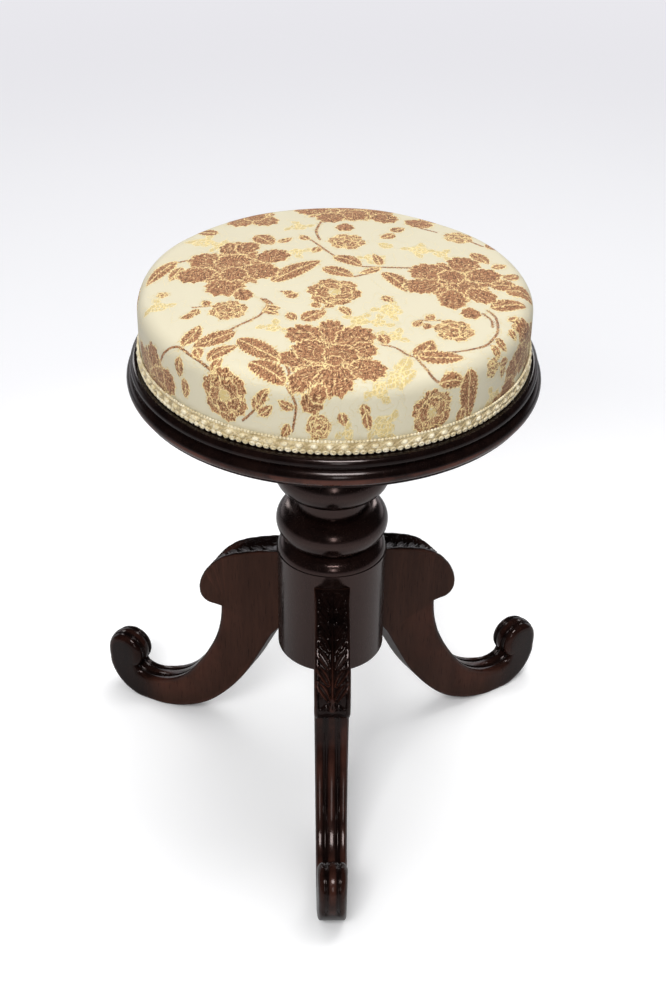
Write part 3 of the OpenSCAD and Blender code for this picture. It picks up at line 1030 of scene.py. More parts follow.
    def edge(self, here: Station) -> tuple[float, float]:
        """How far the rounding of the long edges runs down the side and across the face.

        Args:
            here: The station.

        Returns:
            The two reaches in millimetres.
        """
        if here.zone is Zone.SCROLL:
            return self.scroll_edge
        if here.zone is Zone.TOE:
            start, end = self.side_edge, self.scroll_edge
            share = smooth_step(*self.toe_turn, here.z) if here.x > self.belly_r else 0.0
        elif here.zone is Zone.HOLLOW:
            start, end, share = self.hollow_edge, self.scroll_edge, smooth_step(*self.scroll_turn, here.x)
        elif here.zone in LEAF_ZONES:
            start, end, share = self.root_edge, self.knee_edge, smooth_step(*self.root_turn, here.x)
        else:
            return (0.0, 0.0) if here.zone is Zone.ROOT else self.side_edge
        return start[0] + (end[0] - start[0]) * float(share), start[1] + (end[1] - start[1]) * float(share)

    def relief(self, here: Station, y: float, half: float) -> tuple[float, float]:
        """Height of the carving over the outline, and how rubbed its crest is.

        Args:
            here: Station of the outline.
            y: Distance across the leg from its middle.
            half: Half the leg's thickness there.

        Returns:
            Height in millimetres and wear from 0 to 1.
        """
        if here.zone in REEDED_ZONES:
            return self._reeds(here, abs(y), half)
        if here.zone in LEAF_ZONES:
            return self._leaf(here.along, y, half)
        return 0.0, 0.0

    def _reeds(self, here: Station, side: float, half: float) -> tuple[float, float]:
        """Relief of the three reeds.

        Args:
            here: The station.
            side: Distance from the leg's middle plane.
            half: Half the thickness.

        Returns:
            Height in millimetres and wear from 0 to 1.
        """
        fade = 1.0
        if here.zone is Zone.TOE:
            fade = float(smooth_step(*self.toe_reeds, here.z)) if here.x > self.belly_r else 0.0
        if here.zone is Zone.HOLLOW:
            fade = float(smooth_step(*(self.notch_z + rise for rise in self.notch_reeds), here.z))
        middle = self.reed_w / 2
        centre = middle + self.groove_w / 2
        off = abs(side - centre) / (self.groove_w / 2)
        cut = -self.groove_depth * math.sqrt(max(0.0, 1.0 - off * off)) if off < 1 else 0.0
        crown = 0.0
        if side < middle:
            crown = self.reed_crown * ((side / middle) ** 2)
        elif side > middle + self.groove_w:
            outer = half - (middle + self.groove_w)
            t = (side - middle - self.groove_w) / max(outer, 1.0)
            crown = self.outer_crown * (2 * t - 1) ** 2
        wear = self.reed_wear * float(smooth_step(self.worn_crown, 0.0, crown)) if off >= 1 else 0.0
        return (cut - crown) * fade, wear * fade

    def _leaf(self, along: float, y: float, half: float) -> tuple[float, float]:
        """Relief of the carved leaf: a vein, paired leaflets and a scalloped lower end, cut into the knee.

        Args:
            along: Way along the knee.
            y: Place across the leg.
            half: Half the thickness.

        Returns:
            Height in millimetres and wear from 0 to 1.
        """
        side = abs(y)
        share = min(side / half, 1.0)
        ground = -self.leaf_depth * (1.0 - float(smooth_step(*self.leaf_border, share)))
        narrow, wide = self.vein_half
        vein_half = narrow + (wide - narrow) * float(smooth_step(*self.vein_spread, along))
        vein = math.exp(-((side / vein_half) ** 4))
        ridge = self.vein_height * vein
        split = bell(side, 0.0, self.split[0]) * self.split[1] * float(smooth_step(*self.split_fade, along))
        gutter = -self.gutter[2] * bell(side, vein_half + self.gutter[0], self.gutter[1])
        best = 0.0
        wear = self.leaf_wear * vein
        for number, leaf in enumerate(self.leaflets):
            height, crest = self._leaflet(leaf, along + (self.leaf_shift if y > 0 else 0.0), side, number)
            if height > best:
                best, wear = height, max(wear, crest)
        depth, count = self.scallops
        end = self.leaf_end + depth * (0.5 - 0.5 * math.cos(share * math.pi * count))
        lip = self.lip[2] * bell(along, end + self.lip[0], self.lip[1])
        keep = float(smooth_step(end, end + self.end_rise, along))
        keep *= float(smooth_step(*self.leaf_fade, along))
        height = min(ground + max(ridge - split, lip, best) + gutter * (1.0 - share), self.leaf_top)
        # The wear dies out up the knee, which leaves its upper part dark as painted shade.
        return height * keep, wear * keep * float(smooth_step(*self.wear_fade_as_shade, along))

    def _leaflet(self, leaf: Leaflet, along: float, side: float, number: int) -> tuple[float, float]:
        """Height and crest wear of one spoon-shaped leaflet at a place on the knee.

        Args:
            leaf: The leaflet.
            along: Way along the knee.
            side: Distance from the leg's middle plane.
            number: The leaflet's number, for its own size.

        Returns:
            Height in millimetres and wear from 0 to 1.
        """
        before, after = 4.0, 5.0
        if not leaf.start - before < along < leaf.start + leaf.length + after:
            return 0.0, 0.0
        nearest, where = math.inf, 0.0
        root, steps = 3.6, 14
        for i in range(steps + 1):
            t = i / steps
            px = leaf.start + leaf.length * (t**0.9)
            py = root + (leaf.reach - root) * (t**1.1)
            d = (along - px) ** 2 + (side - py) ** 2
            if d < nearest:
                nearest, where = d, t
        width = leaf.width * (0.32 + 0.68 * math.sin(math.pi * min(1.0, where * 0.82 + 0.1)) ** 0.8)
        d = math.sqrt(nearest) / width
        outside = 1.25
        if d >= outside:
            return 0.0, 0.0
        rim = bell(d, 0.74, 0.3)
        bowl = 0.3 * max(0.0, 1.0 - d * d)
        fall = float(smooth_step(outside, 0.95, d))
        size = self.leaflet_height * (0.85 + 0.15 * math.sin(number * 2.1) ** 2)
        return size * (rim * 0.98 + bowl) * fall, self.leaf_wear * rim * fall

    def layers(self) -> list[tuple[float, float]]:
        """Steps across the leg: share of the plain width, and angle round the long edge in degrees.

        Returns:
            The steps, from one flank to the other.
        """
        rounding = [90.0 * i / self.arc_layers for i in range(self.arc_layers, 0, -1)]
        left = [(-1.0, -a) for a in rounding]
        middle = [(-1.0 + 2.0 * i / self.inner_layers, 0.0) for i in range(self.inner_layers + 1)]
        right = [(1.0, a) for a in reversed(rounding)]
        return left + middle + right

    def build(self) -> bmesh.types.BMesh:
        """Extrudes the outline across the leg and carves it.

        Returns:
            The leg's mesh in metres.
        """
        stations = self.outline()
        layers = self.layers()
        bm = bmesh.new()
        index = bm.verts.layers.int.new("station")
        wear = bm.verts.layers.float.new("wear")
        gloss = bm.verts.layers.float.new("gloss")
        ring = []
        for i, s in enumerate(stations):
            v = bm.verts.new((s.x, 0.0, s.z))
            v[index] = i
            ring.append(v)
        edges = [bm.edges.new((a, b)) for a, b in zip(ring, ring[1:] + ring[:1])]
        rows = [ring]
        ends = [list(edges)]
        for _ in layers[1:]:
            made = bmesh.ops.extrude_edge_only(bm, edges=edges)["geom"]
            row = {v for v in made if isinstance(v, bmesh.types.BMVert)}
            edges = [e for e in made if isinstance(e, bmesh.types.BMEdge) and row.issuperset(e.verts)]
            rows.append(sorted(row, key=lambda v: v[index]))
        ends.append(edges)
        for row, (share, angle) in zip(rows, layers):
            for v in row:
                here = stations[v[index]]
                v.co, v[wear] = self._place(here, share, angle)
                v[gloss] = self._gloss(here, angle)
        for loop in ends:
            cap = bmesh.ops.edgeloop_fill(bm, edges=loop)["faces"]
            bmesh.ops.triangulate(bm, faces=cap, ngon_method="BEAUTY")
        bmesh.ops.recalc_face_normals(bm, faces=bm.faces)
        self._add_tongue(bm)
        bmesh.ops.scale(bm, vec=(MM, MM, MM), verts=bm.verts)
        turn = Matrix.Rotation(math.radians(self.turn), 3, "Z")
        bmesh.ops.rotate(bm, cent=(0, 0, 0), matrix=turn, verts=bm.verts)
        return bm

    def _place(self, here: Station, share: float, angle: float) -> tuple[Point3, float]:
        """Place of a point of the carved leg, and how rubbed it is.

        Args:
            here: Station of the outline.
            share: Share of the plain width, from -1 to 1.
            angle: Angle round the long edge in degrees.

        Returns:
            The place in millimetres and wear from 0 to 1.
        """
        half = self.half_width(here.x, here.z)
        down, across = self.edge(here)
        turn = math.radians(abs(angle))
        plain = half - across
        y = share * plain + math.copysign(across * math.sin(turn), angle if angle else 1.0)
        height, rubbed = self.relief(here, share * plain, half)
        move = height * math.cos(turn) - down * (1.0 - math.cos(turn))
        x = here.x + here.nx * move
        z = max(here.z + here.nz * move, 0.0)
        if here.zone is Zone.ROOT:
            return (math.sqrt((self.column_radius - 0.3) ** 2 - y * y), y, z), 0.0
        return (x, y, z), max(rubbed, 0.35 * math.sin(2 * turn))

    @staticmethod
    def _gloss(here: Station, angle: float) -> float:
        """How polished a point is: the faces are, the flat sides and the sole are not."""
        top = 0.4 if here.zone in (Zone.SOLE, Zone.ROOT) else 1.0
        end = float(smooth_step(176.0, 212.0, here.x))
        return max(end, top * (1.0 - float(smooth_step(25.0, 70.0, abs(angle)))))

    def _add_tongue(self, bm: bmesh.types.BMesh) -> None:
        """Adds the dovetail tongue that slides into the column.

        Args:
            bm: The leg's mesh.
        """
        back, neck, tail, top = self.tongue
        made = bmesh.ops.create_cube(bm, size=1.0)["verts"]
        for v in made:
            outer = v.co.x > 0
            half = neck if outer else tail
            v.co = (
                self.column_radius - 0.6 if outer else back,
                math.copysign(half, v.co.y),
                top if v.co.z > 0 else self.column_foot,
            )


# ---- Cushion


@dataclass(frozen=True)
class Patch:
    """Points of the cloth near one worked motif, with where they lie."""

    index: np.ndarray
    x: np.ndarray
    y: np.ndarray


class Thread(Enum):
    """What a worked shape is filled with."""

    COPPER = "copper"
    GOLD = "gold"


class FlowerCloth:
    """Works a floral figure into signed distances on points of the flat cloth.

    Places are millimetres from the seat's middle, X to the right and Y away from the sitter's knees.

    Attributes:
        ACROSS: Step of the pattern's repeat to the right.
        UP: Its other step.
        START: Middle of the large bloom in front.
        SEED: Seed of the random draws.
        BARE: Distance that points far from any shape get.
        SEAT: Radius of the part that is laid from the listed shapes.
        APRON: Half breadth and lower end of the part of the side that is laid from the listed shapes too.
        REACH: Radius within which the cloth is worked.
        FULLER: How much fuller than its table a bloom's petal is laid.
        RUFFLES: Heights of a petal's broad and fine ruffles, as shares of its size.
        NOTCH: Depth of the notch at its tip as a share of its size, and half width.
        NARROW: How it narrows towards the heart, and by how much at most.
        BEND: Greatest bend of a leaf, as a share of its half width.
        TEETH: Depth of its teeth as a share of its half width, and how fast they follow.
        MIDRIB: Least half width of a leaf that has a midrib.
        RINGS: Distance and size of the petals in the rings of a round bloom, as shares of its radius.
        HEART: Radius of its heart, as a share of its own and at least.
        PEONY: Petals of the large bloom about its middle: place, half breadth and half height.
        LOBES: Petals of the other large blooms.
        GROUNDS: Solid grounds under those.
        ROUND: Round copper blooms: place and radius.
        GOLDEN: Gold blooms.
        LEAVES: Copper leaves: stalk, tip and half width.
        VINES: Stems by the points that they pass.
        FUZZ: Gold leaves.
        figure: Distance inside a copper shape, negative outside.
        edge: Distance from the nearest seam that shows, of either sign on its two sides.
        gilt: Distance inside a shape worked in gold alone, negative outside.
        ribs: Distance across the stitches.
    """

    ACROSS: Point = (112.0, 117.0)
    UP: Point = (-70.0, 142.0)
    START: Point = (-4.0, -120.0)
    SEED: int = 1870
    BARE: float = -9.0
    SEAT: float = 168.0
    APRON: Point = (172.0, -206.0)
    REACH: float = 330.0
    FULLER: float = 1.12
    RUFFLES: Point = (0.07, 0.045)
    NOTCH: Point = (0.08, 1.6)
    NARROW: Point = (0.3, 1.4)
    BEND: float = 0.45
    TEETH: Point = (0.11, 1.7)
    MIDRIB: float = 3.8
    RINGS: tuple[Point, Point] = ((0.62, 0.46), (0.34, 0.4))
    HEART: Point = (0.26, 2.2)
    PEONY: tuple[tuple[float, float, float, float], ...] = (
        (0, 32, 10, 16), (-21, 28, 12, 14), (18, 23, 13, 16), (24, 7, 9, 10), (-26, -4, 10, 13),
        (26, -18, 12, 14), (-20, -28, 9, 15), (2, -30, 13, 15), (-11, 4, 12, 18), (6, 0, 12, 12),
        (2, -8, 6, 6), (-16, -50, 10, 8), (-11, -44, 6, 7),
    )
    LOBES: tuple[tuple[float, float, float, float], ...] = (
        (-85, 60, 11, 13), (-74, 61, 9, 11), (-108, 40, 13, 12), (-52, 42, 11, 13), (-85, 33, 14, 13),
        (-115, 14, 12, 14), (-62, 15, 12, 14), (-90, -9, 15, 14), (-84, 12, 10, 11), (-75, -25, 9, 7),
        (108, 33, 13, 12), (123, 14, 11, 14), (78, 15, 14, 14), (72, -10, 11, 14), (106, -10, 14, 13),
        (119, -21, 10, 12), (95, -30, 14, 10), (97, 9, 10, 10), (108, -51, 8, 7), (15, 156, 16, 10),
        (-18, 148, 14, 11), (40, 143, 12, 12), (45, 128, 11, 10), (18, 135, 12, 12), (-2, 128, 11, 11),
        (10, 104, 8, 7), (75, 119, 9, 11), (-68, 146, 14, 12), (-80, 124, 11, 12), (-60, 122, 10, 11),
        (-69, 133, 9, 9), (-163, -86, 11, 13), (-174, -100, 12, 13), (-158, -112, 11, 10),
        (-166, -100, 7, 7), (158, -62, 12, 13), (170, -76, 12, 12), (163, -96, 13, 11), (172, -112, 11, 12),
        (162, -80, 8, 8),
    )
    GROUNDS: tuple[tuple[float, float, float, float], ...] = (
        (-85, 24, 33, 34), (98, 2, 31, 33), (14, 138, 38, 17), (-69, 134, 17, 20), (-166, -100, 13, 17),
        (164, -86, 13, 24),
    )
    ROUND: tuple[tuple[float, float, float], ...] = (
        (-1, -24, 20.5), (-86, -50, 14.5), (93, -79, 15), (11, 72, 15), (108, 90, 12), (-95, -153, 21),
        (85, -170, 19), (-17, -193, 11), (128, -115, 8), (-141, -18, 5),
    )
    GOLDEN: tuple[tuple[float, float, float], ...] = (
        (44, -53, 9), (18, -70, 7), (33, -73, 6), (-143, -38, 7), (42, -190, 10), (90, 52, 6), (72, 58, 8),
        (-112, 78, 9), (-97, 68, 6), (30, 40, 6), (-30, 105, 7), (-32, 50, 6), (45, -92, 6), (-50, -80, 6),
        (45, -145, 6), (32, -160, 6), (10, -199, 5), (150, -132, 5),
    )
    LEAVES: tuple[tuple[float, float, float, float, float], ...] = (
        (-77, -95, -42, -128, 9), (-67, -128, -40, -155, 9), (-52, -5, -12, 33, 9),
        (-80, -84, -112, -104, 8), (-120, -100, -108, -72, 6), (-100, -122, -77, -105, 6),
        (-97, -133, -88, -122, 4), (-110, -105, -106, -118, 4), (60, -118, 75, -95, 7),
        (62, -118, 98, -118, 8), (80, -146, 104, -138, 6), (103, -127, 132, -160, 9),
        (126, -86, 137, -95, 4), (122, -96, 130, -107, 4), (138, -58, 147, -50, 4), (140, -66, 152, -62, 4),
        (138, -70, 146, -78, 4), (0, 42, 22, 22, 7), (-10, 20, 15, 2, 7), (38, 25, 33, 48, 4),
        (38, 20, 20, 8, 4), (40, 12, 58, -22, 7), (-67, 88, -52, 66, 8), (-48, 70, -36, 80, 4),
        (117, 58, 130, 38, 6), (140, 12, 154, 22, 5), (132, 30, 145, 39, 4), (-133, 42, -156, 2, 6),
        (-128, 30, -136, 6, 5), (128, -2, 152, -6, 9), (140, -10, 166, -16, 9), (125, -40, 156, -30, 8),
        (-27, -70, -8, -55, 7), (-38, -57, -32, -70, 4), (-58, -52, -46, -60, 4), (-56, -46, -44, -50, 4),
        (3, -48, 11, -63, 4), (38, -30, 46, -40, 4), (34, -90, 39, -104, 5), (-72, -172, -60, -158, 4),
        (-66, -168, -53, -156, 4), (-70, -176, -54, -170, 4), (20, -172, 24, -186, 4),
        (24, -180, 30, -195, 4), (2, -180, 7, -192, 4), (-44, -188, -54, -199, 4),
        (116, -156, 124, -170, 5), (138, -105, 150, -113, 4), (136, -108, 145, -98, 4),
        (-124, -108, -136, -120, 5), (-130, -124, -144, -136, 5), (-42, -22, -32, -30, 3.6),
        (-40, -32, -30, -26, 3.6), (-13, -50, -18, -40, 3.6), (-8, -50, -3, -40, 3.6),
        (-104, -42, -107, -32, 3.6), (-110, -46, -118, -57, 4), (-114, -52, -124, -60, 3.6),
        (72, -66, 78, -56, 3.6), (68, -68, 60, -77, 3.6), (72, -70, 70, -80, 3.6), (-14, 60, -18, 48, 4),
        (-22, 74, -28, 86, 4), (-36, -175, -48, -166, 4), (-34, -142, -26, -132, 4),
        (-100, 96, -120, 104, 6), (132, 70, 146, 84, 6), (88, 132, 98, 144, 5), (52, 92, 40, 80, 5),
        (50, 96, 62, 106, 5),
    )
    VINES: tuple[tuple[Point, ...], ...] = (
        ((-60, -33), (-55, -42), (-57, -50), (-62, -62), (-78, -76), (-85, -83)),
        ((-57, -34), (-51, -43), (-54, -52)),
        ((-165, -95), (-140, -95), (-125, -98), (-115, -110), (-100, -128), (-97, -135)),
        ((122, -45), (128, -55), (128, -75), (122, -90), (115, -100), (100, -108), (85, -112)),
        ((118, -50), (124, -60), (124, -70)),
        ((35, -105), (45, -108), (55, -118), (60, -120), (65, -130), (72, -142), (80, -146)),
        ((67, 22), (38, 21), (20, 22)), ((38, 21), (30, 10), (15, 2)),
        ((0, 42), (-8, 55), (-18, 72), (-25, 82)), ((-10, 120), (-15, 95), (-12, 75)),
        ((-120, 44), (-135, 38)), ((-39, -156), (-34, -172), (-42, -195)),
        ((-42, -128), (-37, -140), (-38, -152)), ((-88, -177), (-76, -173), (-60, -164)),
        ((-13, -168), (-17, -182)), ((-99, -42), (-115, -43)), ((82, -65), (65, -67)),
        ((-44, -22), (-36, -28)), ((-13, -57), (-8, -47)), ((128, -112), (138, -106), (148, -108)),
        ((108, -58), (114, -50)), ((110, 90), (128, 74)), ((75, 108), (90, 100)),
    )
    FUZZ: tuple[tuple[float, float, float, float, float], ...] = (
        (55, -120, 45, -145, 5), (60, -138, 32, -158, 5), (50, 62, 38, 70, 5), (95, 20, 88, 26, 4),
        (84, 22, 92, 14, 4),
    )

    def __init__(self, x: np.ndarray, y: np.ndarray) -> None:
        """Starts with a plain ground on the given points, in millimetres.

        Args:
            x: Places across the cloth.
            y: Places along it.
        """
        self.x = x
        self.y = y
        self.figure, self.edge, self.gilt = (np.full(len(x), self.BARE) for _ in range(3))
        self.ribs = np.zeros(len(x))
        self.filling = False
        self.rng = np.random.default_rng(self.SEED)

    def fields(self) -> dict[str, np.ndarray]:
        """The worked fields by the names that the cloth's finish reads.

        Returns:
            Values of each field at the points.
        """
        return {
            "figure": np.clip(self.figure, -6.0, 6.0),
            "edge": np.clip(self.edge, -2.5, 2.5),
            "gilt": np.clip(self.gilt, -6.0, 6.0),
            "ribs": self.ribs,
        }

    def near(self, x: float, y: float, reach: float) -> Patch:
        """Points within reach of a place, none where the listed part already lies.

        Args:
            x: Place across the cloth.
            y: Place along it.
            reach: Greatest distance.

        Returns:
            The points and their places.
        """
        apron = abs(x) < self.APRON[0] and self.APRON[1] < y < 0
        if self.filling and (apron or math.hypot(x, y) < self.SEAT):
            return Patch(np.empty(0, int), np.empty(0), np.empty(0))
        index = np.nonzero((np.abs(self.x - x) < reach) & (np.abs(self.y - y) < reach))[0]
        return Patch(index, self.x[index] - x, self.y[index] - y)

    def lay(
        self,
        patch: Patch,
        inside: np.ndarray,
        ribs: np.ndarray,
        thread: Thread,
        side: np.ndarray | None = None,
    ) -> None:
        """Lays one shape over what is there.

        Args:
            patch: The points.
            inside: Distance inside the shape's edge.
            ribs: Distance across its stitches.
            thread: What it is filled with.
            side: Sign that its seam takes at each point, or None for positive inside.
        """
        i = patch.index
        covered = inside > 0
        shown = covered | (np.abs(inside) < np.abs(self.edge[i]))
        seam = inside if side is None else inside * side
        self.edge[i] = np.where(shown, seam, self.edge[i])
        self.ribs[i] = np.where(covered, ribs, self.ribs[i])
        if thread is Thread.COPPER:
            self.figure[i] = np.maximum(self.figure[i], inside)
        else:
            self.gilt[i] = np.maximum(self.gilt[i], inside - 0.4)
            self.figure[i] = np.where(covered, np.minimum(self.figure[i], -inside), self.figure[i])

    def petal(
        self,
        x: float,
        y: float,
        rx: float,
        ry: float,
        thread: Thread = Thread.COPPER,
        root: Point | None = None,
    ) -> None:
        """Lays a ruffled petal, drawn out towards the bloom's heart.

        Args:
            x: Place of its middle.
            y: Place of its middle.
            rx: Half its breadth.
            ry: Half its height.
            thread: What it is filled with.
            root: Place of the bloom's heart, or None where it has none.
        """
        patch = self.near(x, y, max(rx, ry) * 1.3 + 3)
        if not len(patch.index):
            return
        angle = np.arctan2(patch.y / ry, patch.x / rx)
        phase = self.rng.uniform(0, FULL_TURN)
        waves = 5 + int(max(rx, ry) / 3)
        broad, fine = self.RUFFLES
        ruffle = 1.0 + broad * np.sin(waves * angle + phase)
        ruffle = ruffle + fine * np.sin((2 * waves + 1) * angle + 2 * phase)
        ribs = patch.x + 0.35 * np.abs(patch.y)
        far = np.hypot(patch.x / rx, patch.y / ry)
        if root:
            away = math.hypot(x - root[0], y - root[1])
            if away > 4:
                c, s = (x - root[0]) / away, (y - root[1]) / away
                u, v = patch.x * c + patch.y * s, patch.y * c - patch.x * s
                narrow = np.clip(1.0 + self.NARROW[0] * np.clip(-u, 0, 30) / max(rx, ry), 1.0, self.NARROW[1])
                far = np.hypot(u / (max(rx, ry) * 1.06), v * narrow / min(rx, ry) * 0.94)
                far = far + self.NOTCH[0] * np.exp(-((v / self.NOTCH[1]) ** 2)) * (u > 0)
            ribs = np.arctan2(patch.y + y - root[1], patch.x + x - root[0]) * 16.0
        self.lay(patch, (ruffle - far) * min(rx, ry), ribs, thread)

    def leaf(self, start: Point, tip: Point, width: float, thread: Thread = Thread.COPPER) -> None:
        """Lays a toothed leaf with a gold midrib.

        Args:
            start: Place of its stalk.
            tip: Place of its tip.
            width: Half its width.
            thread: What it is filled with.
        """
        dx, dy = tip[0] - start[0], tip[1] - start[1]
        length = math.hypot(dx, dy)
        patch = self.near(start[0] + dx / 2, start[1] + dy / 2, length * 0.5 + width + 4)
        if not len(patch.index):
            return
        c, s = dx / length, dy / length
        u = patch.x * c + patch.y * s + length / 2
        v = -patch.x * s + patch.y * c
        t = u / length
        bend = width * self.rng.uniform(-self.BEND, self.BEND)
        v = v - bend * np.sin(math.pi * np.clip(t, 0, 1))
        tc = np.clip(t, 0.0, 1.0)
        deep, fast = self.TEETH
        teeth = 1.0 + deep * np.sin(u * fast) * (v > 0) + deep * np.sin(u * fast + 1.3) * (v <= 0)
        reach = width * 1.15 * np.sin(math.pi * tc**0.8) ** 0.65 * teeth
        past = np.maximum(np.maximum(-t, t - 1.0), 0.0) * length
        inside = (reach - np.abs(v)) * 0.85 - past
        side = np.where(v >= 0, 1.0, -1.0)
        self.lay(patch, inside, np.abs(v) * 0.9 - u * 0.5, thread, side)
        if width > self.MIDRIB:
            rib = (inside > 0) & (t < 0.9) & (np.abs(v) < np.abs(self.edge[patch.index]))
            self.edge[patch.index] = np.where(rib, v, self.edge[patch.index])

    def vine(self, points: Sequence[Point], width: float = 2.3) -> None:
        """Lays a stem along a smooth curve through points.

        Args:
            points: Points that it passes, in the cloth's millimetres.
            width: Its width.
        """
        way = smooth_way(points, 10)
        low, high = way.min(0) - 5, way.max(0) + 5
        index = np.nonzero((self.x > low[0]) & (self.x < high[0]) & (self.y > low[1]) & (self.y < high[1]))[0]
        px, py = self.x[index], self.y[index]
        nearest = np.full(len(index), 99.0)
        for (ax, ay), (bx, by) in zip(way, way[1:]):
            dx, dy = bx - ax, by - ay
            t = np.clip(((px - ax) * dx + (py - ay) * dy) / max(dx * dx + dy * dy, 1e-9), 0, 1)
            nearest = np.minimum(nearest, np.hypot(px - ax - t * dx, py - ay - t * dy))
        self.figure[index] = np.maximum(self.figure[index], width / 2 - nearest)

    def rose(self, x: float, y: float, radius: float, thread: Thread = Thread.COPPER) -> None:
        """Lays a round bloom of two rings of petals about a heart.

        Args:
            x: Its middle across the cloth.
            y: Its middle along it.
            radius: Its radius.
            thread: Its silk.
        """
        if thread is Thread.COPPER:
            self.petal(x, y, radius * 0.86, radius * 0.86)
        turn = self.rng.uniform(0, FULL_TURN)
        count = 6 if radius > 10 else 5
        for ring, (out, size) in enumerate(self.RINGS):
            if ring and radius < 8:
                continue
            for k in range(count - ring):
                a = turn + ring * 0.5 + FULL_TURN * k / (count - ring)
                px, py = x + out * radius * math.cos(a), y + out * radius * math.sin(a)
                self.petal(px, py, size * radius, size * radius, thread, (x, y))
        heart = max(self.HEART[0] * radius, self.HEART[1])
        self.petal(x, y, heart, heart, Thread.GOLD if radius > 15 else thread)

    def work(self) -> None:
        """Works the whole cloth: the plain repeat at the back and far sides, then the seen part over it."""
        self.filling = True
        for i in range(-3, 4):
            for j in range(-3, 4):
                x = self.START[0] + i * self.ACROSS[0] + j * self.UP[0]
                y = self.START[1] + i * self.ACROSS[1] + j * self.UP[1]
                if math.hypot(x, y) < self.REACH:
                    self._repeat(x, y)
        self.filling = False
        for way in self.VINES:
            self.vine(way)
        for x, y, tx, ty, width in self.FUZZ:
            self.leaf((x, y), (tx, ty), width, Thread.GOLD)
        for x, y, radius in self.GOLDEN:
            self.rose(x, y, radius, Thread.GOLD)
            self._spray(x, y, radius)
        for x, y, tx, ty, width in self.LEAVES:
            self.leaf((x, y), (tx, ty), width)
        for x, y, radius in self.ROUND:
            self.rose(x, y, radius)
        for x, y, rx, ry in self.GROUNDS:
            self.petal(x, y, rx, ry)
        for x, y, rx, ry in self.LOBES:
            heart = min(self.GROUNDS, key=lambda ground: math.hypot(ground[0] - x, ground[1] - y))
            self.petal(x, y, rx * self.FULLER, ry * self.FULLER, root=heart[:2])
        self._peony(*self.START)

    def _spray(self, x: float, y: float, radius: float) -> None:
        """Works the small gold leaves beside a gold bloom.

        Args:
            x: Its middle across the cloth.
            y: Its middle along it.
            radius: Its reach.
        """
        turn = self.rng.uniform(0, FULL_TURN)
        for k in range(3):
            a = turn + k * 1.7
            start = (x + radius * math.cos(a), y + radius * math.sin(a))
            tip = (x + (radius + 8) * math.cos(a + 0.4), y + (radius + 8) * math.sin(a + 0.4))
            self.leaf(start, tip, 2.8, Thread.GOLD)

    def _repeat(self, x: float, y: float) -> None:
        """Works one plain repeat about the large bloom at a place.

        Args:
            x: The bloom's middle across the cloth.
            y: Its middle along it.
        """
        for px, py, tx, ty, width in self.LEAVES[:12]:
            self.leaf((x + px + 20, y + py + 130), (x + tx + 20, y + ty + 130), width)
        for dx, dy, radius in ((5, 94, 20), (-8, -75, 14), (60, 48, 12), (-62, 30, 13)):
            self.rose(x + dx, y + dy, radius)
        for dx, dy, radius in ((45, 63, 8), (-36, 66, 8), (40, -50, 9), (76, 10, 7)):
            self.rose(x + dx, y + dy, radius, Thread.GOLD)
        self._peony(x, y)

    def _peony(self, x: float, y: float) -> None:
        """Works the large bloom over a solid ground."""
        self.petal(x, y - 2, 29, 37)
        for dx, dy, rx, ry in self.PEONY:
            self.petal(x + dx, y + dy, rx * self.FULLER, ry * self.FULLER, root=(x + 2, y - 4))


def smooth_way(points: Sequence[Point], steps: int) -> np.ndarray:
    """Runs a smooth curve through points.

    Args:
        points: Points to pass.
        steps: Pieces between two points.

    Returns:
        Points of the curve, one row each.
    """
    p = np.array([points[0], *points, points[-1]], float)
    rows = []
    for i in range(1, len(p) - 2):
        for k in range(steps):
            t = k / steps
            a, b, c, d = p[i - 1], p[i], p[i + 1], p[i + 2]
            bend, twist = 2 * a - 5 * b + 4 * c - d, 3 * b - a - 3 * c + d
            rows.append(0.5 * (2 * b + (c - a) * t + bend * t**2 + twist * t**3))
    rows.append(p[-2])
    return np.array(rows)


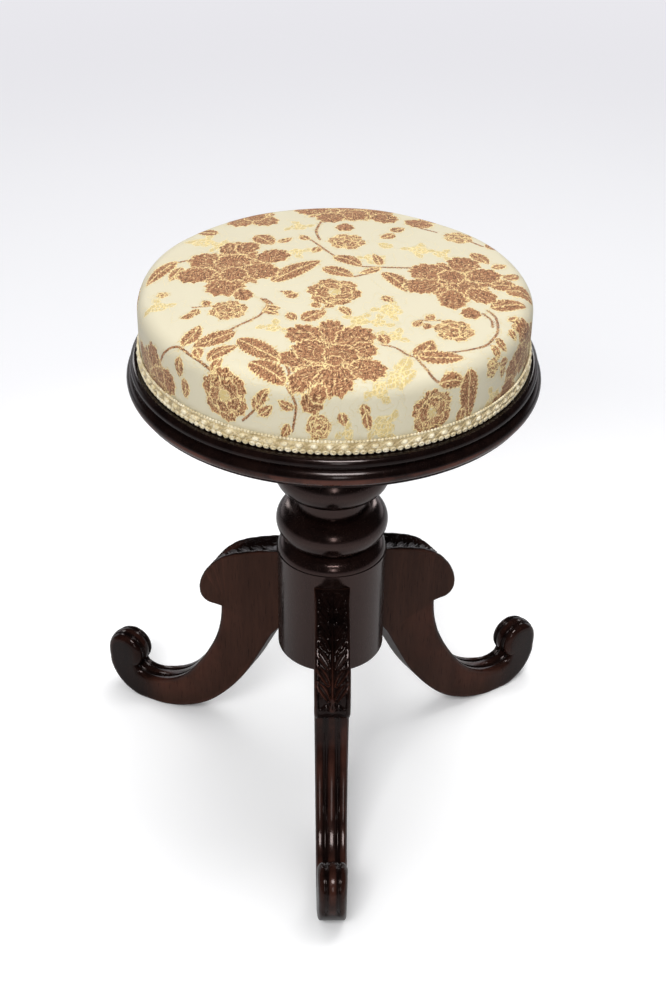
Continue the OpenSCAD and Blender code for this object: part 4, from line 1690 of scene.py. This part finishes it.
@dataclass
class Cushion:
    """The stuffed seat: a crowned cover whose sides are drawn in to the seat base.

    Attributes:
        radius: Its greatest radius.
        base: Height of its underside over the floor.
        height: Its height at the shoulder.
        crown: How far the middle rises over that.
        shoulder: Rounding of the shoulder.
        draw_in: How far the side is drawn in at the hem.
        hem: Height of the hem over the underside.
        thickness: Thickness of the cover.
        cells: Faces along each side of the outer sheet.
        inner_cells: The same of the inner one.
        fill: Share of the cover that its padding fills. Not used.
    """

    radius: float = 163.5
    base: float = 449.4
    height: float = 61.0
    crown: float = 7.5
    shoulder: float = 15.0
    draw_in: float = 2.5
    hem: float = 0.3
    thickness: float = 1.2
    cells: int = 306
    inner_cells: int = 60
    fill: float = 0.9

    def profile(self, inset: float) -> np.ndarray:
        """Half outline from the middle of the top to the hem.

        Args:
            inset: How far inside the outer face it runs.

        Returns:
            Distance from the axis and height of each point, one row each.
        """
        rise = self.height - self.shoulder - self.height * 0.2
        curve = (rise * rise + self.draw_in**2) / (2 * self.draw_in)
        side = (self.radius - curve, self.base + rise)
        start = math.degrees(math.asin((rise - self.hem) / curve))
        corner = (self.radius - self.shoulder, self.base + self.height - self.shoulder)
        crown_curve = (corner[0] ** 2 + self.crown**2) / (2 * self.crown)
        lean = math.degrees(math.asin(corner[0] / crown_curve))
        middle = (0.0, self.base + self.height + self.crown - crown_curve)
        points = [p for p, _ in arc(middle, crown_curve - inset, 90, 90 - lean, 2.0)]
        points += [p for p, _ in arc(corner, self.shoulder - inset, 90 - lean, 0, 1.0)][1:]
        points += [p for p, _ in arc(side, curve - inset, 0, -start, 2.0)]
        return np.array(points)

    def _sheet(self, bm: bmesh.types.BMesh, cells: int, inset: float) -> tuple[np.ndarray, np.ndarray]:
        """Adds a square sheet and draws it down over the cushion's form.

        Args:
            bm: Mesh to add to.
            cells: Cells along each side of the sheet.
            inset: How far inside the outer face it lies.

        Returns:
            The places of its vertices on the flat cloth.
        """
        verts = bmesh.ops.create_grid(bm, x_segments=cells, y_segments=cells, size=1.0)["verts"]
        flat = np.array([v.co for v in verts], float)
        u, v = flat[:, 0], flat[:, 1]
        ring = np.maximum(np.abs(u), np.abs(v))
        steep = np.abs(v) > np.abs(u)
        with np.errstate(divide="ignore", invalid="ignore"):
            angle = np.where(steep, math.pi / 2 - u / v * math.pi / 4, v / u * math.pi / 4)
        angle = np.nan_to_num(angle)
        angle = np.where(np.where(steep, v < 0, u < 0), angle + math.pi, angle)
        points = self.profile(inset)
        way = np.concatenate([[0.0], np.cumsum(np.hypot(*np.diff(points, axis=0).T))])
        along = ring * way[-1]
        r = np.interp(along, way, points[:, 0])
        z = np.interp(along, way, points[:, 1])
        r, z = self._soften(r, z, along / way[-1], angle)
        for vert, rr, zz, aa in zip(verts, r, z, angle):
            vert.co = (rr * math.cos(aa) * MM, rr * math.sin(aa) * MM, zz * MM)
        return along * np.cos(angle), along * np.sin(angle)

    @staticmethod
    def _soften(
        r: np.ndarray, z: np.ndarray, share: np.ndarray, angle: np.ndarray
    ) -> tuple[np.ndarray, np.ndarray]:
        """Adds the slight lumps of hand stuffing and the pulls of the tacked edge.

        Args:
            r: Distance of each point from the axis.
            z: Its height.
            share: Its share of the way from the crown to the hem.
            angle: Its angle round the axis.

        Returns:
            The new distances and heights.
        """
        side = smooth_step(0.66, 0.8, share)
        low = smooth_step(0.82, 1.0, share)
        pulls = 0.35 * np.sin(angle * 40) * low + 0.25 * np.sin(angle * 23 + 1.0) * low
        swell = 0.55 * np.sin(angle * 5 + 0.6) + 0.4 * np.sin(angle * 9 + 2.2)
        top = 0.5 * np.sin(angle * 3 + 1.1) * share + 0.3 * np.sin(share * 11 + angle * 2)
        ring = smooth_step(0.55, 0.7, share) * (1 - smooth_step(0.78, 0.88, share))
        r = r + side * (1 - low) * swell * 0.6 - np.abs(pulls) * 0.8
        z = z + (1 - side) * top * 0.8 + ring * swell * 0.7
        return r, z

    def build(self) -> tuple[bmesh.types.BMesh, np.ndarray, np.ndarray]:
        """Builds the closed cover with its inner face.

        Returns:
            The mesh in metres and its vertices' places on the flat cloth.
        """
        bm = bmesh.new()
        x, y = self._sheet(bm, self.cells, 0.0)
        edge_out = [e for e in bm.edges if e.is_boundary]
        xi, yi = self._sheet(bm, self.inner_cells, self.thickness)
        known = set(edge_out)
        edge_in = [e for e in bm.edges if e.is_boundary and e not in known]
        bmesh.ops.bridge_loops(bm, edges=edge_out + edge_in)
        bmesh.ops.recalc_face_normals(bm, faces=bm.faces)
        return bm, np.concatenate([x, xi]), np.concatenate([y, yi])

    def make(self, material: bpy.types.Material) -> bpy.types.Object:
        """Builds and dresses the cover.

        Args:
            material: The cloth.

        Returns:
            The finished piece.
        """
        bm, x, y = self.build()
        piece = finish_mesh("cushion_cover", bm, material, Body.SEAT, ["seat_cover"])
        cloth = FlowerCloth(x, y)
        cloth.work()
        mesh = piece.data
        for name, values in cloth.fields().items():
            layer = mesh.attributes.new(name, "FLOAT", "POINT")
            layer.data.foreach_set("value", values.astype(np.float32))
        corner = np.zeros(len(mesh.loops), np.int32)
        mesh.loops.foreach_get("vertex_index", corner)
        uv = mesh.uv_layers.new(name="cloth")
        places = np.stack([x[corner] / CLOTH_MM + 0.5, y[corner] / CLOTH_MM + 0.5], 1)
        uv.data.foreach_set("uv", places.astype(np.float32).ravel())
        return piece


# ---- Braid


@dataclass
class GimpBraid:
    """Gimp braid: a ribbed band, a row of knots between crossing cords, round loops below and beads above.

    Lengths are millimetres, and heights run up from the braid's lower edge.

    Attributes:
        inner: Distance of the band's back from the axis.
        lean: How much further out the band lies at its top.
        low: Height of its lower edge over the floor.
        height: Its height.
        ribs: Ribs of the band.
        rib: How far a rib stands out.
        steps: Faces round the band.
        knots: Knots in the round.
        knot_at: Height of their row, as a share of the band's.
        knot: Half sizes of a knot outwards, along and up, in metres.
        cord: Radius of a crossing cord.
        strand: Half the distance of a pair of cords.
        sway: How far the cords swing up and down.
        loops: Loops in the round.
        loop: Half sizes of a loop along and up.
        loop_cord: Radius of its cord.
        loop_points: Points of its middle line.
        bead: Half sizes of a bead outwards, along and up, in metres.
        sides: Sides of a cord.
    """

    inner: float = 162.2
    lean: float = 0.75
    low: float = 449.9
    height: float = 13.4
    ribs: int = 15
    rib: float = 0.28
    steps: int = 176
    knots: int = 88
    knot_at: float = 0.53
    knot: Point3 = (0.0021, 0.0031, 0.0023)
    cord: float = 0.4
    strand: float = 0.5
    sway: float = 2.5
    loops: int = 176
    loop: Point = (1.75, 1.45)
    loop_cord: float = 1.02
    loop_points: int = 9
    bead: Point3 = (0.00105, 0.00128, 0.00118)
    sides: int = 5

    def band_radius(self, z: float) -> float:
        """Distance of the band's outer face from the axis at a height."""
        return self.inner + self.lean * (z - self.low) / self.height

    def pitch(self, count: int) -> float:
        """Distance from one of count like pieces to the next, along the braid."""
        return FULL_TURN * (self.inner + 1.0) / count

    def at(self, along: float, up: float, out: float) -> Vector:
        """Point of the braid by its distance along, up and out from the band, near angle 0."""
        r = self.band_radius(self.low + up) + out
        angle = along / (self.inner + 1.0)
        return Vector((r * math.cos(angle), r * math.sin(angle), self.low + up))

    def tube(self, bm: bmesh.types.BMesh, way: Sequence[Vector], radius: float, closed: bool = False) -> None:
        """Draws a round cord along a way by extruding a small ring.

        Args:
            bm: Mesh to add to.
            way: Points of its middle line in millimetres.
            radius: Its radius.
            closed: Whether it ends where it starts.
        """
        rows: list[list] = []
        for i, point in enumerate(way):
            before = way[i - 1] if i or closed else point
            after = way[(i + 1) % len(way)] if i + 1 < len(way) or closed else point
            ahead = (after - before).normalized()
            side = ahead.cross(Vector((point.x, point.y, 0)).normalized()).normalized()
            out = side.cross(ahead)
            turns = [FULL_TURN * k / self.sides for k in range(self.sides)]
            places = [(point + (out * math.cos(a) + side * math.sin(a)) * radius) * MM for a in turns]
            if not rows:
                row = [bm.verts.new(p) for p in places]
                rows.append([bm.edges.new(pair) for pair in zip(row, row[1:] + row[:1])])
                continue
            made = bmesh.ops.extrude_edge_only(bm, edges=rows[-1])["geom"]
            fresh = {v for v in made if isinstance(v, bmesh.types.BMVert)}
            row = [next(e.other_vert(v) for e in v.link_edges if e.other_vert(v) in fresh) for v in row]
            for v, p in zip(row, places):
                v.co = p
            rows.append([e for e in made if isinstance(e, bmesh.types.BMEdge) and fresh.issuperset(e.verts)])
        if closed:
            bmesh.ops.bridge_loops(bm, edges=rows[-1] + rows[0])
        else:
            for loop in (rows[0], rows[-1]):
                bmesh.ops.edgeloop_fill(bm, edges=loop)

    @staticmethod
    def _repeat(bm: bmesh.types.BMesh, count: int) -> None:
        """Repeats what was drawn at angle 0 all round the seat.

        Args:
            bm: Mesh of one repeat.
            count: Number of repeats in a turn.
        """
        bmesh.ops.spin(
            bm,
            geom=bm.verts[:] + bm.edges[:] + bm.faces[:],
            cent=(0, 0, 0),
            axis=(0, 0, 1),
            angle=FULL_TURN * (count - 1) / count,
            steps=count - 1,
            use_duplicate=True,
        )

    def _row(self, centre: Vector, shape: Point3, faces: tuple[int, int], count: int) -> bmesh.types.BMesh:
        """A row of rounded pieces.

        Args:
            centre: Middle of the first in millimetres.
            shape: Its half sizes in metres.
            faces: Its faces round and up.
            count: Pieces in the round.

        Returns:
            The row's mesh.
        """
        bm = bmesh.new()
        made = bmesh.ops.create_uvsphere(bm, u_segments=faces[0], v_segments=faces[1], radius=1.0)["verts"]
        turn = Matrix.Rotation(math.atan2(centre.y, centre.x), 4, "Z")
        matrix = Matrix.Translation(centre * MM) @ turn @ Matrix.Diagonal((*shape, 1))
        bmesh.ops.transform(bm, matrix=matrix, verts=made)
        self._repeat(bm, count)
        return bm

    def band(self) -> bmesh.types.BMesh:
        """The ribbed backing band.

        Returns:
            The mesh.
        """
        bm = bmesh.new()
        points: list[Point] = []
        for i in range(self.ribs * 2 + 1):
            z = self.low + 1.0 + (self.height - 2.4) * i / (self.ribs * 2)
            points.append((self.band_radius(z) + 0.9 + self.rib * (i % 2), z))
        back = [(r - 1.0, z) for r, z in (points[-1], points[0])]
        spin_profile(bm, [*points, *back, points[0]], self.steps)
        return bm

    def cords(self) -> bmesh.types.BMesh:
        """The two double cords that cross between the knots.

        Returns:
            The mesh.
        """
        bm = bmesh.new()
        pitch = self.pitch(self.knots)
        steps = 10
        for phase in (0.0, math.pi):
            for strand in (-self.strand, self.strand):
                way = []
                for i in range(steps * 2 + 1):
                    wave = math.pi * i / steps + phase
                    up = self.height * self.knot_at + self.sway * math.sin(wave) + strand
                    way.append(self.at(pitch * i / steps, up, 1.5 + 0.5 * math.cos(wave + 0.3)))
                self.tube(bm, way, self.cord)
        self._repeat(bm, self.knots // 2)
        bmesh.ops.remove_doubles(bm, verts=bm.verts, dist=2e-5)
        return bm

    def knot_row(self) -> bmesh.types.BMesh:
        """The row of pearl-like knots."""
        centre = self.at(self.pitch(self.knots) / 2, self.height * self.knot_at, 1.2)
        return self._row(centre, self.knot, (10, 7), self.knots)

    def bead_row(self) -> bmesh.types.BMesh:
        """The upper row of small bright beads."""
        return self._row(self.at(0.0, self.height - 1.25, 1.15), self.bead, (8, 6), self.loops * 2)

    def looped_edge(self) -> bmesh.types.BMesh:
        """The lower row of round loops.

        Returns:
            The mesh.
        """
        bm = bmesh.new()
        half = self.pitch(self.loops) / 2
        way = []
        for i in range(self.loop_points):
            along, up = math.cos(FULL_TURN * i / self.loop_points), math.sin(FULL_TURN * i / self.loop_points)
            way.append(self.at(half + self.loop[0] * along, 2.15 + self.loop[1] * up, 1.7 + 0.35 * up))
        self.tube(bm, way, self.loop_cord, closed=True)
        self._repeat(bm, self.loops)
        return bm

    def make(self, ivory: bpy.types.Material, cord: bpy.types.Material, gold: bpy.types.Material) -> None:
        """Builds and dresses the braid's pieces.

        Args:
            ivory: Silk of the knots, loops and beads.
            cord: Silk of the crossing cords.
            gold: Silk of the band.
        """
        parts: tuple[tuple[str, Callable, bpy.types.Material, Sequence[str]], ...] = (
            ("braid_band", self.band, gold, ["gimp_braid"]),
            ("braid_cords", self.cords, cord, ()),
            ("braid_knots", self.knot_row, ivory, ()),
            ("braid_loops", self.looped_edge, ivory, ()),
            ("braid_beads", self.bead_row, ivory, ()),
        )
        for name, build, material, replaced in parts:
            bm = build()
            bmesh.ops.recalc_face_normals(bm, faces=bm.faces)
            finish_mesh(name, bm, material, Body.SEAT, replaced, 80.0)


# ---- Screw


@dataclass
class HeightScrew:
    """The steel screw with its square-cut thread, pinned in the plate under the seat.

    Attributes:
        major: Radius over the thread.
        minor: Radius of the core.
        lead: Rise in one turn.
        low: Height of its lower end.
        top: Height at which the thread ends.
        hub_top: Height of its upper end in the plate's hub.
        neck: Radius in the hub.
        chamfer: Height of the upper end's chamfer, and overlap of neck and thread.
        steps: Faces in one turn.
        round_off: Rounding of the tooth's corners.
    """

    major: float = 12.42
    minor: float = 10.9
    lead: float = 6.35
    low: float = 256.6
    top: float = 418.6
    hub_top: float = 435.4
    neck: float = 12.3
    chamfer: float = 0.6
    steps: int = 40
    round_off: float = 0.15

    def build(self) -> bmesh.types.BMesh:
        """Winds one tooth round and up, and trims both ends.

        Returns:
            The screw's mesh in metres.
        """
        bm = bmesh.new()
        turns = math.ceil((self.top - self.low) / self.lead) + 2
        z = self.low - self.lead
        tooth = [
            (self.minor, z),
            (self.minor, z + self.lead * 0.3),
            (self.major - self.round_off, z + self.lead * 0.37),
            (self.major, z + self.lead * 0.42),
            (self.major, z + self.lead * 0.86),
            (self.major - self.round_off, z + self.lead * 0.91),
            (self.minor, z + self.lead),
        ]
        bmesh.ops.spin(
            bm,
            geom=chain(bm, tooth),
            cent=(0, 0, 0),
            axis=(0, 0, 1),
            dvec=(0, 0, self.lead * MM / self.steps),
            angle=FULL_TURN * turns,
            steps=self.steps * turns,
        )
        bmesh.ops.remove_doubles(bm, verts=bm.verts, dist=2e-5)
        for height, direction in ((self.low, -1.0), (self.top, 1.0)):
            made = bmesh.ops.bisect_plane(
                bm,
                geom=bm.verts[:] + bm.edges[:] + bm.faces[:],
                plane_co=(0, 0, height * MM),
                plane_no=(0, 0, direction),
                clear_outer=True,
            )["geom_cut"]
            bmesh.ops.edgeloop_fill(bm, edges=[e for e in made if isinstance(e, bmesh.types.BMEdge)])
        bmesh.ops.recalc_face_normals(bm, faces=bm.faces)
        neck = bmesh.new()
        low, high = self.top - self.chamfer, self.hub_top - self.chamfer
        slim = self.neck - 0.5
        outline = [(0, low), (self.neck, low), (self.neck, high), (slim, self.hub_top), (0, self.hub_top)]
        spin_profile(neck, outline, 64)
        joined = bpy.data.meshes.new("neck")
        neck.to_mesh(joined)
        neck.free()
        bm.from_mesh(joined)
        bpy.data.meshes.remove(joined)
        return bm


# ---- Studio


@dataclass
class Studio:
    """Floor, lamps and camera.

    Attributes:
        distance: Camera's distance before the axis in millimetres.
        height: Camera's height.
        pitch: Its downward tilt in radians.
        roll: Its roll.
        pan: Its pan.
        turn: Angle by which the stool was turned in the picture.
        focal_share: Focal length as a share of the picture's long side.
        shift: Shift of the lens across and up.
        paper: Colour of the floor near the stool.
        wall: Colour of the backdrop.
        dark: Colour of the room overhead and behind the camera, as polished wood mirrors it.
        low_aim: What the lamps face, in metres.
        seat_aim: What the glint panels face.
    """

    distance: float = 1328.667
    height: float = 1193.467
    pitch: float = 0.5936
    roll: float = 0.0138
    pan: float = 0.0012
    turn: float = 0.0198
    focal_share: float = 1.801
    shift: Point = (-0.001, 0.001)
    paper: Colour = (0.9, 0.9, 0.9, 1.0)
    wall: Colour = srgb(234, 233, 238)
    dark: Colour = (0.02, 0.02, 0.021, 1.0)
    low_aim: Point3 = (0.0, 0.0, 0.35)
    seat_aim: Point3 = (0.0, 0.0, 0.42)

    def camera(self) -> None:
        """Places the camera at the picture's angle."""
        data = bpy.data.cameras.new("view")
        data.sensor_fit = "AUTO"
        data.sensor_width = 36.0
        data.lens = data.sensor_width * self.focal_share
        data.shift_x, data.shift_y = self.shift
        data.clip_start, data.clip_end = 0.02, 60.0
        level = math.cos(self.pitch)
        ahead = Vector((math.sin(self.pan) * level, math.cos(self.pan) * level, -math.sin(self.pitch)))
        right = Vector((math.cos(self.pan), -math.sin(self.pan), 0.0))
        up = right.cross(ahead)
        level_right = right * math.cos(self.roll) + up * math.sin(self.roll)
        level_up = up * math.cos(self.roll) - right * math.sin(self.roll)
        facing = Matrix((level_right, level_up, -ahead)).transposed().to_4x4()
        place = Matrix.Translation(Vector((0.0, -self.distance, self.height)) * MM)
        camera = bpy.data.objects.new("view", data)
        camera.matrix_world = Matrix.Rotation(-self.turn, 4, "Z") @ place @ facing
        bpy.context.scene.collection.objects.link(camera)
        bpy.context.scene.camera = camera

    @staticmethod
    def lamp(name: str, place: Point3, aim: Point3, size: Point, power: float, glint: bool) -> None:
        """Hangs a rectangular lamp.

        Args:
            name: Its name.
            place: Where it hangs, in metres.
            aim: What it faces.
            size: Its width and height.
            power: Its power in watts.
            glint: Whether it only shows in polished surfaces, where other lamps only light matt ones.
        """
        data = bpy.data.lights.new(name, "AREA")
        data.shape = "RECTANGLE"
        data.size, data.size_y = size
        data.energy = power
        lamp = bpy.data.objects.new(name, data)
        lamp.visible_diffuse = not glint
        lamp.visible_glossy = glint
        lamp.location = place
        lamp.rotation_euler = (Vector(aim) - Vector(place)).to_track_quat("-Z", "Y").to_euler()
        bpy.context.scene.collection.objects.link(lamp)

    def lights(self) -> None:
        """Hangs the lamps, and the panels that only show as glints."""
        self.lamp("key", (-0.5, -1.95, 2.0), self.low_aim, (1.0, 0.7), 44.0, False)
        self.lamp("top", (0.3, 0.4, 2.6), (0.0, 0.0, 0.3), (1.8, 1.4), 36.0, False)
        self.lamp("front_panel", (0.12, -1.4, 2.5), self.seat_aim, (0.75, 0.8), 36.0, True)
        self.lamp("low_panel", (0.1, -2.3, 1.15), self.seat_aim, (0.3, 0.8), 4.0, True)
        self.lamp("left_panel", (-1.1, 1.75, 1.22), self.seat_aim, (0.35, 0.5), 2.5, True)
        self.lamp("right_panel", (0.92, 1.8, 1.28), self.seat_aim, (0.35, 0.5), 2.5, True)

    def backdrop(self) -> None:
        """Pale surroundings: bright to a little above the horizon, dark overhead and behind the camera."""
        world = bpy.data.worlds.new("studio")
        bpy.context.scene.world = world
        world.use_nodes = True
        world.node_tree.nodes.clear()
        g = ShaderGraph(world.node_tree)
        look = g.value("ShaderNodeTexCoord", output="Generated")
        back, up = (g.value("ShaderNodeSeparateXYZ", {0: look}, axis) for axis in "YZ")
        seen = g.blend(g.band(up, 0.08, 0.36), self.wall, self.dark)
        mirrored = g.blend(g.band(back, 0.72, 0.4), seen, self.dark)
        kinds = ("Is Glossy Ray", "Is Camera Ray", "Is Transmission Ray")
        glossy, camera, through = (g.value("ShaderNodeLightPath", output=kind) for kind in kinds)
        colour = g.blend(glossy, (0.38, 0.38, 0.39, 1.0), mirrored)
        colour = g.blend(g.math("MAXIMUM", camera, through), colour, self.wall)
        light = g.value("ShaderNodeBackground", {"Color": colour, "Strength": 1.0})
        g.add("ShaderNodeOutputWorld", {"Surface": light})

    def floor(self) -> None:
        """Lays a pale floor that goes from white to a light grey and then into the backdrop, with a painted
        shadow under the stool.
        """
        bm = bmesh.new()
        bmesh.ops.create_circle(bm, cap_ends=True, segments=96, radius=14.0)
        bmesh.ops.translate(bm, vec=(0, 0, -0.0002), verts=bm.verts)
        mesh = bpy.data.meshes.new("floor")
        bm.to_mesh(mesh)
        bm.free()
        floor = bpy.data.objects.new("floor", mesh)
        bpy.context.scene.collection.objects.link(floor)
        material = bpy.data.materials.new("floor_paper")
        material.use_nodes = True
        material.node_tree.nodes.clear()
        g = ShaderGraph(material.node_tree)
        far = g.value("ShaderNodeVectorMath", {0: g.place()}, "Value", operation="LENGTH")
        fade, away = g.band(far, 0.42, 0.85), g.band(far, 1.4, 2.5)
        kinds = ("Is Camera Ray", "Is Glossy Ray")
        camera, glossy = (g.value("ShaderNodeLightPath", output=kind) for kind in kinds)
        # Matt part: darker as polished wood mirrors it, and gone where the floor meets the backdrop.
        tint = g.blend(g.band(far, 0.9, 2.6), srgb(229, 229, 231), self.wall)
        paper = g.blend(fade, self.paper, g.blend(0.35, tint, (0.5, 0.5, 0.5, 1.0)))
        paper = g.blend(g.math("MAXIMUM", away, glossy * 0.55), paper, (0.0, 0.0, 0.0, 1.0))
        matt = g.value("ShaderNodeBsdfDiffuse", {"Color": paper})
        # Glow, dimmed by ambient occlusion where the stool stands over the floor: a painted shadow.
        painted_shadow = g.value("ShaderNodeAmbientOcclusion", {"Distance": 0.42}, "AO", samples=8)
        shown = (g.math("MAXIMUM", camera, glossy) - glossy * 0.8) * g.math("POWER", painted_shadow, 1.7)
        glow = g.blend(fade, (0.3, 0.3, 0.3, 1.0), (0.27, 0.27, 0.28, 1.0))
        light = g.value("ShaderNodeEmission", {"Color": g.blend(away, glow, self.wall), "Strength": shown})
        g.add("ShaderNodeOutputMaterial", {"Surface": g.value("ShaderNodeAddShader", {0: matt, 1: light})})
        mesh.materials.append(material)

    def build(self) -> None:
        """Sets the whole studio."""
        self.camera()
        self.lights()
        self.backdrop()
        self.floor()
        bpy.context.scene.view_settings.view_transform = "Standard"


# ---- The stool


@dataclass
class PianoStool:
    """The whole stool, built in order from its sub-assemblies."""

    legs: tuple[ScrollLeg, ...] = (
        ScrollLeg("leg_front", -90.0),
        ScrollLeg("leg_right", 32.4),
        ScrollLeg("leg_left", 152.7),
    )
    cushion: Cushion = field(default_factory=Cushion)
    braid: GimpBraid = field(default_factory=GimpBraid)
    screw: HeightScrew = field(default_factory=HeightScrew)

    def build(self, effects: Effects) -> None:
        """Builds and dresses every piece.

        Args:
            effects: Shared node groups.
        """
        carved = LacqueredWood("carved_mahogany").build(effects)
        turned = LacqueredWood("turned_mahogany", coat=0.15, specular=0.75, carved=False).build(effects)
        # The rim's red-brown belt is partly rubbed wear and partly a painted warm glow beside its highlights.
        rim = LacqueredWood("rim_mahogany", coat=0.5, carved=False, rubbed_glow_heights=(0.4258, 0.4345))
        for leg in self.legs:
            finish_mesh(leg.node + "_carved", leg.build(), carved, Body.BASE, [leg.node], 42.0)
        dress_node("column", turned)
        dress_node("seat_base", rim.build(effects))
        self.cushion.make(Brocade().build(effects))
        ivory = SilkCord("ivory_silk", srgb(250, 241, 214), srgb(210, 192, 146))
        cord = SilkCord("cord_silk", srgb(240, 224, 184), srgb(188, 165, 117))
        gold = SilkCord("gold_silk", srgb(228, 210, 164), srgb(176, 154, 108))
        self.braid.make(*(silk.build(effects) for silk in (ivory, cord, gold)))
        self._inner(effects)

    def _inner(self, effects: Effects) -> None:
        """Dresses the inner and the metal pieces, and builds the screw.

        Args:
            effects: The shared shader groups.
        """
        metal, soft = 1.0, 0.0
        iron = PlainFinish(
            "black_iron", (0.035, 0.034, 0.033, 1), (0.014, 0.013, 0.013, 1), 0.6, 0.55, 700.0, 0.5
        )
        steel = PlainFinish(
            "screw_steel", (0.48, 0.47, 0.45, 1), (0.24, 0.22, 0.2, 1), metal, 0.32, 500.0, 0.15, (1, 1, 6)
        )
        leather = PlainFinish(
            "washer_leather", (0.2, 0.095, 0.045, 1), (0.09, 0.04, 0.02, 1), soft, 0.6, 900.0, 0.6
        )
        ply = PlainFinish(
            "birch_ply", (0.62, 0.46, 0.29, 1), (0.42, 0.28, 0.15, 1), soft, 0.7, 220.0, 0.3, (1, 8, 8)
        )
        foam = PlainFinish("seat_foam", (0.82, 0.74, 0.46, 1), (0.66, 0.56, 0.3, 1), soft, 0.9, 1100.0, 0.9)
        wadding = PlainFinish(
            "cotton_wadding", (0.86, 0.85, 0.81, 1), (0.7, 0.68, 0.63, 1), soft, 0.95, 300.0, 0.9
        )
        tacks = PlainFinish(
            "blued_tacks", (0.07, 0.08, 0.11, 1), (0.03, 0.03, 0.045, 1), 0.7, 0.35, 800.0, 0.2
        )
        dressed = (
            (iron, ("brace_plate", "nut_plate", "spindle_plate")),
            (steel, ("brace_screws", "nut_screws", "plate_screws", "pad_screws", "spindle_pin")),
            (leather, ("friction_washer",)),
            (ply, ("pad_board",)),
            (foam, ("pad_foam",)),
            (wadding, ("pad_wadding",)),
            (tacks, ("cover_tacks",)),
        )
        built = {}
        for finish, nodes in dressed:
            built[finish.name] = finish.build(effects)
            for node in nodes:
                dress_node(node, built[finish.name])
        screw = self.screw.build()
        finish_mesh("height_screw", screw, built["screw_steel"], Body.SEAT, ["spindle"], 35.0)


def main() -> None:
    """Builds the stool and its studio."""
    logging.basicConfig(level=logging.INFO, format="%(message)s")
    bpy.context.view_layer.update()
    effects = Effects()
    PianoStool().build(effects)
    Studio().build()


if __name__ == "__main__":
    main()
